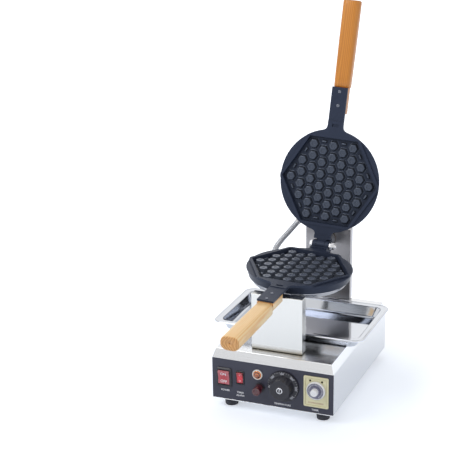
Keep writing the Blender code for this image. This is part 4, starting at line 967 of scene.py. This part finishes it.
def boss_part():
    """One boss: hexagonal, drawn in towards its rounded top, with a shallow dish in it."""
    top = boss_height - boss_round
    profile = (
        (boss_across + boss_root * 2, -boss_root),
        (boss_across + boss_root * 2, 0),
        (boss_across + boss_root * 0.7, boss_root * 0.25),
        (boss_across, boss_root),
        (boss_top_across + boss_round, top),
        (boss_top_across + boss_round * 0.6, top + boss_round * 0.6),
        (boss_top_across - boss_round * 0.3, top + boss_round * 0.92),
        (boss_top_across - boss_round * 1.4, boss_height),
        (boss_dish_across, boss_height),
        (boss_dish_across - boss_dish, boss_height - boss_dish * 0.7),
        (boss_dish_across - boss_dish * 4, boss_height - boss_dish),
    )
    return part_object(loops_skin([hexagon(across, height) for across, height in profile]))


def edge_boss_part():
    """The two long bosses at one side of the recess."""
    bm = bmesh.new()
    top = edge_boss_height
    profile = (
        (-boss_root, -boss_root), (-boss_root, 0), (0, boss_root), (boss_root, top - boss_root),
        (boss_root * 1.4, top - boss_root * 0.3), (boss_root * 2.2, top),
    )
    for shift in (-boss_pitch * math.sqrt(3) / 2, boss_pitch * math.sqrt(3) / 2):
        loops = []
        for inset, height in profile:
            half_a = edge_boss_width / 2 - inset
            half_b = edge_boss_length / 2 - inset
            points = rounded_rectangle((-half_a, shift - half_b), (half_a, shift + half_b), half_a, 4)
            loops.append([Vector((a, b, height)) for a, b in points])
        loops_skin(loops, bm=bm)
    return part_object(bm)


def cleared_plate(prefix, side, place):
    """The CAD plate with its plain bosses milled off at the recess floor, and the land round its rim."""
    floor = half_parting + recess_depth
    copy = bpy.data.meshes.new("plate")
    bm = merged(frame["nodes"][prefix + "_plate"].data)
    bm.to_mesh(copy)
    bm.free()
    plate = put_in_scene("plate", copy)
    turns = [full_turn * i / 6 for i in range(6)]
    loops = []
    for w in (floor, -recess_depth):
        radius = recess_corner_radius + recess_clearance + recess_draft * (floor - w) / recess_depth
        loops.append([plate_point(radius, t, w, side, place) for t in turns])
    carve(plate, part_object(loops_skin(loops)))
    carve(plate, rim_cutter(side, place))
    bm = merged(plate.data)
    bpy.data.objects.remove(plate)
    return bm


def plate_point(radius, turn, w, side, place):
    """A point at a radius and a turn round a plate's centre."""
    return place @ half_point(radius * math.cos(turn), hinge_to_centre + radius * math.sin(turn), w, side)


def rim_cutter(side, place):
    """What is milled off round the hexagonal rim, from one side of the neck round to the other."""
    inner = recess_corner_radius + rim_width / math.cos(math.pi / 6)
    outer = rim_cut_radius
    corners = ((inner, -rim_step), (outer, -rim_step), (outer, rim_step), (inner, rim_step))
    turns = [full_turn * i / 6 for i in range(2, 8)]
    return part_object(loops_skin([[plate_point(r, t, w, side, place) for r, w in corners] for t in turns]))


def make_plates():
    """Both cast plates: the body, the honeycomb of bosses and the long bosses at the edge."""
    floor = half_parting + recess_depth
    middle = recess_corner_radius * math.cos(math.pi / 6) - edge_boss_inset - edge_boss_width / 2
    for prefix, side, place, body in halves:
        bm = round_edges(cleared_plate(prefix, side, place), plate_edge_round, 3)
        keep_flats(piece(prefix + "_cast_plate", bm, prefix + "_coat", prefix + "_plate"))
        shared = {"slot": "coated_aluminium", "smooth_angle": 28}
        bed = plate_centre(place, side, floor, outwards=False)
        copied(
            prefix + "_bosses", "field", boss_part(), bed, prefix + "_bosses", body,
            pitch=boss_pitch, columns=boss_columns, rings=boss_rings, **shared,
        )
        copied(
            prefix + "_edge_bosses", "arc", edge_boss_part(), bed, prefix + "_bosses", body,
            radius=middle, count=6, start=math.pi / 6, sweep=full_turn * 5 / 6, **shared,
        )


def make_heater_covers():
    """Pressed steel dishes behind the plates, each held by screws in its floor."""
    start = half_parting + plate_thickness + gap
    floor = start + heater_depth
    shoulder = floor - heater_shoulder_drop
    profile = (
        (heater_floor_radius - heater_press, floor),
        (heater_floor_radius, floor - heater_press * 0.1),
        (heater_shoulder_radius - heater_press * 0.5, shoulder + heater_press * 0.5),
        (heater_shoulder_radius + heater_press * 0.3, shoulder - heater_press * 0.4),
        (heater_rim_radius - heater_lip, start + heater_lip * 2),
        (heater_rim_radius, start + heater_lip),
        (heater_rim_radius, start),
        (heater_rim_radius - heater_sheet * 2, start),
        (heater_shoulder_radius - heater_sheet, shoulder - heater_sheet),
        (heater_floor_radius - heater_sheet, floor - heater_sheet),
    )
    points = [polar(cover_screw_circle, math.radians(30 + 120 * i)) for i in range(3)]
    for prefix, side, place, body in halves:
        centre = place @ Matrix.Translation((0, -hinge_to_centre, 0))
        bm = turned([(radius, side * height) for radius, height in profile], centre, 96)
        piece(prefix + "_heater_dish", bm, "dish", prefix + "_heater_cover")
        bed = plate_centre(place, side, floor, outwards=True)
        copied(
            prefix + "_dish_screws", "points", screw_part(cover_screw_radius), bed, "screw", body, points,
            slot="polished_steel",
        )


def screw_part(radius):
    """A pan-head screw with a slot across its head."""
    head = radius * 0.55
    profile = (
        (radius, -head * 0.2), (radius, head * 0.35), (radius * 0.86, head * 0.78), (radius * 0.55, head),
    )
    slot = block(radius * 2.4, radius * 0.26, head * 2, head * 0.45)
    return carve(part_object(turned(profile, Matrix(), 20)), slot)


def make_handles():
    """Wooden handles: a tongue under the neck and a grip that rounds off towards its end."""
    tongue = (neck_half_width - gap, neck_under + gap, neck_under + gap + tongue_depth)
    top = half_parting + handle_top_drop
    bottom = top + handle_thickness
    end_top = top - (handle_end_thickness - handle_thickness) / 2
    end_bottom = end_top + handle_end_thickness
    start = neck_end + gap
    lead = start + handle_lead
    long = handle_end - handle_end_round - lead
    grip = (handle_half_width, top, bottom, handle_corner_radius)
    sections = [
        (tongue_start, *tongue, tongue_round, tongue_round / 2),
        (tongue_start + tongue_round / 2, *tongue, tongue_round, 0),
        (neck_end, *tongue, tongue_round, 0),
        (start, *grip, handle_lead), (start + handle_lead * 0.4, *grip, handle_lead * 0.3), (lead, *grip, 0),
    ]
    for i in range(1, handle_sections + 1):
        share = i / handle_sections
        sections.append((
            lead + long * share, handle_half_width + (handle_end_half_width - handle_half_width) * share,
            top + (end_top - top) * share, bottom + (end_bottom - bottom) * share,
            handle_corner_radius + (handle_end_corner_radius - handle_corner_radius) * share ** 2, 0,
        ))
    for degrees in (20, 42, 66, 90):
        bend = polar(handle_end_round, math.radians(degrees))
        sections.append((
            handle_end - handle_end_round + bend.y, handle_end_half_width, end_top, end_bottom,
            handle_end_corner_radius, handle_end_round - bend.x,
        ))
    middle = (end_top + end_bottom) / 2
    for radius, u in (
        (handle_hole_radius + handle_hole_round, handle_end),
        (handle_hole_radius, handle_end - handle_hole_round),
        (handle_hole_radius, handle_end - handle_hole_depth),
    ):
        sections.append((u, radius, middle - radius, middle + radius, radius, 0))
    for prefix, side, place, body in halves:
        loops = []
        for u, half, low, high, radius, inset in sections:
            points = rounded_rectangle((inset - half, low + inset), (half - inset, high - inset), radius, 8)
            loops.append([place @ half_point(x, u, w, side) for x, w in points])
        wood = "pale_wood" if side < 0 else "orange_wood"
        piece(prefix + "_wooden_handle", loops_skin(loops), wood, prefix + "_handle", smooth_angle=50)


def sheet_bend(inset, z, size, start, sweep, radius, count):
    """Bend of a sheet round a centre, as (inset, height, corner radius) levels."""
    bends = [polar(size, math.radians(start + sweep * i / count)) for i in range(count + 1)]
    return [(inset + bend.x, z + bend.y, radius) for bend in bends]


def make_tray():
    """Drip tray pressed from one sheet: rounded floor edge, drawn wall, flat lip and folded rim."""
    low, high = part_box("drip_tray")
    top = high.z
    flat = top - tray_bead_rise
    sheet = tray_sheet
    outer = tray_corner_radius + tray_lip / 2
    inner = tray_corner_radius
    wall = tray_lip + tray_draft
    fold = tray_lip_round * 0.8
    turn = tray_lip - tray_lip_round * 0.6
    toe = wall + tray_floor_round + sheet * 0.4
    toe_height = low.z + sheet + tray_floor_round
    levels = (
        [(wall + tray_floor_round * 1.6, low.z + sheet, inner - tray_floor_round)]
        + sheet_bend(toe, toe_height, tray_floor_round, -90, -74, inner, 6)
        + sheet_bend(turn, flat - tray_lip_round, tray_lip_round, 14, 76, inner, 6)
        + [(tray_bead, flat, outer), (tray_bead * 0.84, top - tray_bead_rise * 0.8, outer)]
        + [(tray_bead * 0.68, top - tray_bead_rise * 0.2, outer), (tray_bead * 0.56, top, outer)]
        + sheet_bend(fold, top - fold, fold, 90, 90, outer, 5)
        + [(0, top - tray_lip_fold, outer), (sheet, top - tray_lip_fold, outer)]
        + sheet_bend(fold, top - fold, fold - sheet, 180, -90, outer, 5)
        + [(tray_bead, flat - sheet, outer)]
        + sheet_bend(turn, flat - tray_lip_round, tray_lip_round - sheet, 90, -76, inner, 6)
        + [(wall + sheet * 0.2, low.z + tray_floor_round * 0.6, inner)]
        + [(wall + tray_floor_round * 0.6, low.z, inner)]
    )
    loops = []
    for inset, z, radius in levels:
        near = (low.x + inset, low.y + inset)
        far = (high.x - inset, high.y - inset)
        points = rounded_rectangle(near, far, radius, 10)
        loops.append([Vector((x, y, z)) for x, y in points])
    keep_flats(piece("pressed_tray", loops_skin(loops), "mirror", "drip_tray", smooth_angle=50))


def make_feet():
    """Rubber feet with a groove round the middle and a screw recess below."""
    for name in ("foot_front_left", "foot_front_right", "foot_rear_left", "foot_rear_right"):
        low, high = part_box(name)
        middle = (low + high) / 2
        height = high.z - low.z
        wide = (high.x - low.x) / 2
        groove = wide - foot_draw * 0.6 - foot_edge * 0.5
        profile = (
            (foot_recess_radius, foot_recess_depth), (foot_recess_radius, foot_edge * 0.3),
            (foot_recess_radius + foot_edge, 0), (wide - foot_draw - foot_edge, 0),
            (wide - foot_draw - foot_edge * 0.3, foot_edge * 0.3), (wide - foot_draw, foot_edge),
            (wide - foot_draw * 0.6, height * 0.52), (groove, height * 0.55), (groove, height * 0.6),
            (wide - foot_draw * 0.5, height * 0.63), (wide, height - foot_edge * 0.5),
            (wide - foot_edge * 0.5, height),
        )
        place = Matrix.Translation((middle.x, middle.y, low.z))
        piece("rubber_" + name, turned(profile, place, 72), "rubber", name)


def panel_place(x, z, proud=0.0):
    """A place on the panel: X to the right, Y up and Z out of the panel."""
    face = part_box("control_panel")[0].y
    return Matrix.Translation((x, face - proud, z)) @ Matrix.Rotation(math.pi / 2, 4, "X")


def centre_on_panel(node):
    """Where a control's middle lies on the panel."""
    low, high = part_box(node)
    return (low.x + high.x) / 2, (low.z + high.z) / 2


def lettering(name, words, size, place, finish, body):
    """Printed or moulded letters, centred on a place, a print's thickness proud."""
    curve = bpy.data.curves.new(name, "FONT")
    curve.body = words
    curve.size = size
    curve.align_x = "CENTER"
    curve.align_y = "CENTER"
    curve.space_character = letter_spacing_share
    curve.extrude = print_height
    curve.offset = size * letter_weight_share
    holder = put_in_scene(name, curve)
    mesh = plain_mesh(holder)
    bpy.data.objects.remove(holder)
    mesh.transform(place)
    return seat(dressed(name, mesh, finishes[finish]), body=body)


def make_labels():
    """Generic words printed under the controls."""
    power_x, alarm_x, knob_x, timer_x = [
        centre_on_panel(node)[0]
        for node in ("power_switch_body", "alarm_switch_body", "thermostat_knob", "timer_frame")
    ]
    base_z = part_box("control_panel")[0].z
    for name, words, x, rise in (
        ("label_power", "POWER", power_x + label_lean, power_label_rise),
        ("label_timer_alarm_top", "TIMER", alarm_x, alarm_label_rise + label_line / 2),
        ("label_timer_alarm_low", "ALARM", alarm_x, alarm_label_rise - label_line / 2),
        ("label_temperature", "TEMPERATURE", knob_x - label_lean, knob_label_rise),
        ("label_timer", "TIMER", timer_x - label_lean, timer_label_rise),
    ):
        lettering(name, words, label_size, panel_place(x, base_z + rise, print_height / 2), "ink", "base")


def make_thermostat():
    """Knob with a numbered skirt, a fluted grip and a silver cap with two printed half moons."""
    place = panel_place(*centre_on_panel("thermostat_knob"))
    low = gap * 2
    skirt_top = low + skirt_thickness
    top = skirt_top + knob_length
    floor = skirt_top + spindle_engagement + gap
    edge = knob_edge
    bevel = skirt_bevel
    sections = (
        (spindle_bore_radius, floor, 0), (spindle_bore_radius, low, 0), (skirt_radius, low, 0),
        (skirt_radius, skirt_top - bevel, 0), (skirt_radius - bevel * 0.3, skirt_top - bevel * 0.3, 0),
        (skirt_radius - bevel, skirt_top, 0), (knob_neck_radius + edge * 0.6, skirt_top, 0),
        (knob_neck_radius, skirt_top + edge * 0.3, 0), (knob_neck_radius, skirt_top + edge, 0.4),
        (knob_neck_radius - edge * 0.2, skirt_top + edge * 2, 1), (knob_radius, top - edge, 1),
        (knob_radius - edge * 0.3, top - edge * 0.3, 1), (knob_radius - edge, top, 0.7),
        (knob_dish_radius, top, 0), (knob_dish_radius - edge, top - knob_dish, 0),
        (cap_radius + edge * 0.5, top - knob_dish, 0), (cap_radius, top - gap, 0),
    )
    loops = [
        fluted(radius, height, knob_lobes, knob_lobe_share * share, place)
        for radius, height, share in sections
    ]
    piece("numbered_knob", loops_skin(loops), "knob", "thermostat_knob", smooth_angle=30)
    make_skirt_marks(place @ Matrix.Translation((0, 0, skirt_top)))
    make_knob_cap(place @ Matrix.Translation((0, 0, top + gap)))


def make_skirt_marks(face):
    """Numbers and ticks printed round the knob's skirt."""
    for i in range(6):
        number = str(50 + 50 * i)
        turn = math.radians(skirt_first_angle - skirt_step_angle * i - 90)
        where = face @ Matrix.Rotation(turn, 4, "Z") @ Matrix.Translation((0, number_radius, 0))
        lettering("skirt_number_" + number, number, number_size, where, "grey_ink", "thermostat_control")
    tick = block(tick_length, tick_width, print_height)
    sweep = skirt_step_angle * 5
    copied(
        "skirt_ticks", "arc", tick, face, "ink", "thermostat_control", radius=tick_radius, count=26,
        start=math.radians(skirt_first_angle - sweep), sweep=math.radians(sweep),
    )


def make_knob_cap(place):
    """Silver cap with two half moons printed on it."""
    profile = (
        (cap_radius, 0), (cap_radius, cap_thickness * 0.5),
        (cap_radius - cap_thickness * 0.3, cap_thickness * 0.85),
        (cap_radius - cap_thickness, cap_thickness),
    )
    piece("silver_cap", turned(profile, place, 64), "satin", "thermostat_knob_cap")
    face = place @ Matrix.Translation((0, 0, cap_thickness)) @ Matrix.Rotation(cap_mark_turn, 4, "Z")
    start = math.asin(cap_mark_bar / 2 / cap_mark_radius)
    bm = bmesh.new()
    for quarter in (0, math.pi):
        turns = [quarter - math.pi / 2 + start + (math.pi - 2 * start) * i / 20 for i in range(21)]
        loops_skin([[face @ polar(cap_mark_radius, t, h) for t in turns] for h in (0, print_height)], bm=bm)
    piece("cap_half_moons", bm, "black", body="thermostat_control")


def make_timer_plate():
    """Face plate of the timer: a grooved frame round a sunk field, with two screws and a scale."""
    x, z = centre_on_panel("timer_frame")
    dial_x, dial_z = centre_on_panel("timer_dial_ring")
    low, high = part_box("timer_frame")
    half = (high - low) / 2
    place = panel_place(x, z)
    thick = timer_frame_thickness
    field = thick * 0.6
    round_outside = timer_corner_radius
    round_inside = timer_corner_radius * 0.8
    round_field = timer_corner_radius * 0.6
    groove = timer_border + timer_groove_width
    groove_floor = thick - timer_groove_depth
    loops = []
    for inset, height, radius in (
        (0, gap, round_outside), (0, thick * 0.7, round_outside),
        (thick * 0.12, thick * 0.92, round_outside),
        (thick * 0.4, thick, round_outside), (timer_border, thick, round_inside),
        (timer_border, groove_floor, round_inside), (groove, groove_floor, round_field),
        (groove, field, round_field),
    ):
        corner = Vector((half.x - inset, half.z - inset))
        points = rounded_rectangle(-corner, corner, radius, 6)
        loops.append([place @ Vector((a, b, height)) for a, b in points])
    middle = Vector((dial_x - x, dial_z - z))
    hole = Vector((spindle_hole_radius, spindle_hole_radius))
    for height in (field, gap):
        points = rounded_rectangle(middle - hole, middle + hole, spindle_hole_radius, 6)
        loops.append([place @ Vector((a, b, height)) for a, b in points])
    piece("timer_face_plate", loops_skin(loops, ring=True), "cream", "timer_frame")
    points = [(side * timer_screw_x, timer_screw_rise, field) for side in (-1, 1)]
    copied("timer_screws", "points", screw_part(timer_screw_radius), place, "dark_screw", "base", points)
    mark = block(timer_mark_width, timer_mark_height, field + print_height)
    points = [(timer_mark_pitch * (i - 6), -timer_mark_drop, 0) for i in range(13)]
    copied("timer_scale_marks", "points", mark, place, "rust_ink", "base", points)


def make_timer_dial():
    """White ring round the timer's dial, and the dial with its ticks and knob."""
    place = panel_place(*centre_on_panel("timer_dial_ring"))
    base = timer_frame_thickness + gap
    top = base + dial_ring_proud
    edge = dial_edge
    slope = dial_ring_radius - dial_ring_slope
    bore = dial_ring_radius - dial_ring_width
    profile = (
        (bore, base), (dial_ring_radius, base), (dial_ring_radius, base + edge * 0.5),
        (slope, top - edge * 0.4), (slope - edge * 0.4, top), (bore, top - edge),
    )
    piece("timer_ring", turned(profile, place, 96, ring=True), "clear_white", "timer_dial_ring")
    disc_top = base + dial_thickness
    profile = (
        (spindle_bore_radius, base), (dial_radius, base), (dial_radius, disc_top - edge * 0.5),
        (dial_radius - edge * 0.5, disc_top), (spindle_bore_radius, disc_top),
    )
    piece("timer_dial", turned(profile, place, 96, ring=True), "dial", "timer_knob")
    face = place @ Matrix.Translation((0, 0, disc_top))
    make_timer_knob(face)
    tick = block(timer_tick_length, timer_tick_width, print_height)
    copied(
        "timer_dial_ticks", "arc", tick, face, "ink", "timer_control",
        radius=dial_radius - timer_tick_length, count=25, start=math.radians(-60), sweep=math.radians(300),
    )


def make_timer_knob(place):
    """Knurled grey base under a white knurled knob with a shallow dish in its end."""
    edge = dial_edge
    rise = dial_thickness
    top = timer_knob_length
    base = (
        (timer_knob_radius, 0), (timer_knob_radius, rise - edge * 0.5),
        (timer_knob_radius - edge * 0.5, rise),
    )
    grip = (
        (timer_hub_radius, rise - edge), (timer_hub_radius, top - edge),
        (timer_hub_radius - edge * 0.4, top - edge * 0.3), (timer_hub_radius - edge, top),
        (timer_cap_radius, top), (timer_cap_radius - edge * 0.3, top - edge * 0.6),
    )
    for name, profile, knurls, finish in (
        ("timer_knurled_base", base, timer_knurls, "dial"),
        ("timer_grip", grip, timer_hub_knurls, "clear_white"),
    ):
        loops = [fluted(radius, height, knurls, knurl_share, place) for radius, height in profile]
        piece(name, loops_skin(loops), finish, body="timer_control")


def make_pilot_lamp():
    """Round pilot lamp: a white ring and a domed amber lens."""
    place = panel_place(*centre_on_panel("pilot_lamp_ring"))
    edge = pilot_edge
    shoulder = pilot_proud - edge
    ring = (
        (pilot_stem_radius, -pilot_stem_length), (pilot_stem_radius, gap), (pilot_radius, gap),
        (pilot_radius, shoulder), (pilot_radius - edge * 0.35, pilot_proud - edge * 0.3),
        (pilot_radius - edge * 1.2, pilot_proud), (pilot_lens_radius + edge * 0.4, pilot_proud - edge * 0.1),
        (pilot_lens_radius, pilot_proud - edge * 0.6), (pilot_lens_radius, gap * 5),
    )
    piece("pilot_ring", turned(ring, place, 80), "white", "pilot_lamp_ring")
    radius = pilot_lens_radius - gap
    dome = [(radius, gap * 6), (radius, shoulder)]
    for degrees in range(10, 90, 10):
        t = math.radians(degrees)
        dome.append((radius * math.cos(t) ** 0.8, shoulder + (pilot_lens_proud - shoulder) * math.sin(t)))
    piece("pilot_lens", turned(dome, place, 64), "amber", "pilot_lamp_lens", smooth_angle=50)


def make_alarm_lamp():
    """Long dark red lamp cap with a dished end."""
    place = panel_place(*centre_on_panel("alarm_lamp_cap"))
    edge = lamp_edge
    low = lamp_collar + gap
    end = lamp_length
    wall = lamp_radius - lamp_draft
    cap = (
        (lamp_radius - edge * 0.3, low), (lamp_radius, low + edge * 0.5), (wall, end - edge),
        (wall - edge * 0.3, end - edge * 0.3), (wall - edge, end), (lamp_face_radius, end),
        (lamp_face_radius - edge * 0.5, end - edge * 0.7), (lamp_face_radius * 0.35, end - edge * 0.9),
    )
    piece("lamp_cap", turned(cap, place, 72), "cap", "alarm_lamp_cap")


def make_switch_marks():
    """Marks moulded on the rockers, laid on their two slopes."""
    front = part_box("control_panel")[0].y
    for node, body, upper, lower, size, finish in (
        ("power_rocker", "power_switch_rocker", "ON", "OFF", switch_mark_size, "ink"),
        ("alarm_rocker", "alarm_switch_rocker", "I", "O", switch_mark_size * 0.7, "pink_ink"),
    ):
        graph = bpy.context.evaluated_depsgraph_get()
        tree = BVHTree.FromObject(bpy.data.objects["soft_" + node], graph)
        low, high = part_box(node)
        x, z = centre_on_panel(node)
        rise = (high.z - low.z) * switch_mark_share
        for words, shift in ((upper, rise), (lower, -rise)):
            name = "mark_%s_%s" % (node, words.lower())
            made = lettering(name, words, size, panel_place(x, z + shift), finish, body)
            for vertex in made.data.vertices:
                start = Vector((vertex.co.x, low.y - switch_mark_size, vertex.co.z))
                hit = tree.ray_cast(start, Vector((0, 1, 0)))[0]
                if hit:
                    vertex.co.y += hit.y - front


def screw_rows(name, across, long, rows, place):
    """Screws along two edges of a cover."""
    points = [(a * across, b * long, 0) for a in (-1, 1) for b in rows]
    copied(name, "points", screw_part(bottom_screw_radius), place, "screw", "base", points)


def make_body_screws():
    """Screws that hold the bottom plate and the cover behind the rear upright."""
    low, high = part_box("bottom_plate")
    half = (high - low) / 2
    middle = (low.x + half.x, low.y + half.y, low.z)
    place = Matrix.Translation(middle) @ Matrix.Rotation(math.pi, 4, "X")
    screw_rows("bottom_screws", half.x - bottom_screw_inset, half.y - bottom_screw_inset, (-1, 0, 1), place)
    low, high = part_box("upright_cover")
    half = (high - low) / 2
    middle = (low.x + half.x, high.y, low.z + half.z)
    place = Matrix.Translation(middle) @ Matrix.Rotation(-math.pi / 2, 4, "X")
    screw_rows("cover_screws", half.x - cover_edge_inset, half.z - cover_edge_inset, (-1, 1), place)


def make_plain_pieces():
    """Pieces whose CAD form is right and only need their edges rounded."""
    for finish, width, names in (
        ("housing", housing_round, "housing_shell"),
        ("upright", channel_round, "front_support"),
        ("rear", channel_round, "rear_upright"),
        ("housing", thin_sheet_round, "bottom_plate upright_cover"),
        ("panel", thin_sheet_round, "control_panel"),
        ("black", bezel_round, "power_switch_body alarm_switch_body"),
        ("black", small_round, "alarm_lamp_collar thermostat_body timer_body terminal_block cable_gland"),
        ("window", rocker_round, "power_rocker"),
        ("red", rocker_round, "alarm_rocker"),
        ("bronze", small_round, "bearing_bush"),
        ("element", tube_round, "lower_heating_element upper_heating_element"),
        ("shaft", small_round, "pivot_shaft shaft_nut"),
        ("satin", small_round, "hinge_pin hinge_acorn_nut thermostat_spindle timer_spindle"),
        ("satin", small_round, "lower_conduit_fitting upper_conduit_fitting"),
        ("rivet", small_round, "lower_rivet_inner lower_rivet_outer upper_rivet_inner upper_rivet_outer"),
    ):
        for name in names.split():
            bm = round_edges(merged(frame["nodes"][name].data), width)
            keep_flats(piece("soft_" + name, bm, finish, name))


def make_camera():
    """The photograph's camera."""
    camera = put_in_scene("camera", bpy.data.cameras.new("camera"))
    camera.data.sensor_width = sensor_width
    camera.data.lens = photo_focus * sensor_width / photo_size
    camera.data.shift_x = (photo_size / 2 - photo_centre[0]) / photo_size
    camera.data.shift_y = (photo_centre[1] - photo_size / 2) / photo_size
    level = math.cos(camera_elevation)
    away = Vector((
        math.sin(camera_azimuth) * level, -math.cos(camera_azimuth) * level, math.sin(camera_elevation),
    ))
    camera.location = aim + away * camera_distance
    camera.rotation_euler = (-away).to_track_quat("-Z", "Y").to_euler()
    bpy.context.scene.camera = camera


def make_lamps():
    """Soft rectangular studio lamps: a broad one from the left and weak ones from the right and behind."""
    for name, place, size, power in lamps:
        light = bpy.data.lights.new(name, "AREA")
        light.shape = "RECTANGLE"
        light.size, light.size_y = size
        light.energy = power
        made = put_in_scene(name, light)
        made.location = place
        made.rotation_euler = (aim - Vector(place)).to_track_quat("-Z", "Y").to_euler()


def make_room():
    """Pale surroundings: white to the camera, and a plain level of light for everything else."""
    world = bpy.data.worlds.new("studio")
    world.use_nodes = True
    bpy.context.scene.world = world
    tree = world.node_tree
    path = add(tree, "ShaderNodeLightPath").outputs
    direct = {0: path["Is Camera Ray"], 1: path["Is Glossy Ray"]}
    seen = add(tree, "ShaderNodeMath", direct, operation="MAXIMUM")
    seen = add(tree, "ShaderNodeMath", {0: seen, 1: path["Is Transmission Ray"]}, operation="MAXIMUM")
    # The room behind the camera is dimmer near the horizon, which gives metal and gloss their edges.
    direction = add(tree, "ShaderNodeSeparateXYZ", {0: add(tree, "ShaderNodeTexCoord").outputs["Generated"]})
    room = add(tree, "ShaderNodeMapRange", {
        "Value": direction.outputs["Z"], "From Min": 0.05, "From Max": 0.5,
        "To Min": room_level, "To Max": 1.0,
    })
    ahead = add(tree, "ShaderNodeMapRange", {
        "Value": direction.outputs["Y"], "From Min": -0.4, "From Max": 0.1,
    })
    mirrored = add(tree, "ShaderNodeMix", {0: ahead, 2: room, 3: 1.0})
    shown = add(tree, "ShaderNodeMix", {0: path["Is Camera Ray"], 2: mirrored, 3: 1.0})
    strength = add(tree, "ShaderNodeMix", {0: seen, 2: sky_level, 3: shown})
    connect(tree, tree.nodes["Background"], {"Strength": strength, "Color": rgb("#FFFFFF")})


def make_floor():
    """White paper sweep that keeps the machine's shadow."""
    made, tree, shader, coords = start_material("White paper sweep", "#EBF3FF", 0.7)
    path = add(tree, "ShaderNodeLightPath").outputs
    weaker = {0: path["Is Glossy Ray"], 1: mirrored_share}
    mirrored = add(tree, "ShaderNodeMath", weaker, operation="MULTIPLY")
    seen = add(tree, "ShaderNodeMath", {0: path["Is Camera Ray"], 1: mirrored}, operation="MAXIMUM")
    reach = add(tree, "ShaderNodeVectorMath", {0: coords}, operation="LENGTH")
    # Paper that is out of the lamps' reach would look grey; near the machine it keeps the shadow.
    level = add(tree, "ShaderNodeMapRange", {
        "Value": reach, "From Min": sweep_near, "From Max": sweep_far,
        "To Min": sweep_near_glow, "To Max": sweep_far_glow,
    })
    glow = add(tree, "ShaderNodeMath", {0: seen, 1: level}, operation="MULTIPLY")
    connect(tree, shader, {"Emission Color": rgb("#FFFFFF"), "Emission Strength": glow})
    far = sweep_reach
    mesh = bpy.data.meshes.new("paper_sweep")
    mesh.from_pydata([(-far, -far, 0), (far, -far, 0), (far, far, 0), (-far, far, 0)], [], [(0, 1, 2, 3)])
    dressed("paper_sweep", mesh, made)


def main():
    """Dresses the machine, then sets the camera's scene round it."""
    bpy.context.scene.view_settings.view_transform = "Standard"
    make_finishes()
    trees.update({"points": points_tree(), "arc": arc_tree(), "field": field_tree()})
    make_camera()
    make_conduit()
    make_plain_pieces()
    make_plates()
    make_heater_covers()
    make_handles()
    make_tray()
    make_feet()
    make_thermostat()
    make_timer_plate()
    make_timer_dial()
    make_pilot_lamp()
    make_alarm_lamp()
    make_switch_marks()
    make_labels()
    make_body_screws()
    make_lamps()
    make_room()
    make_floor()


main()
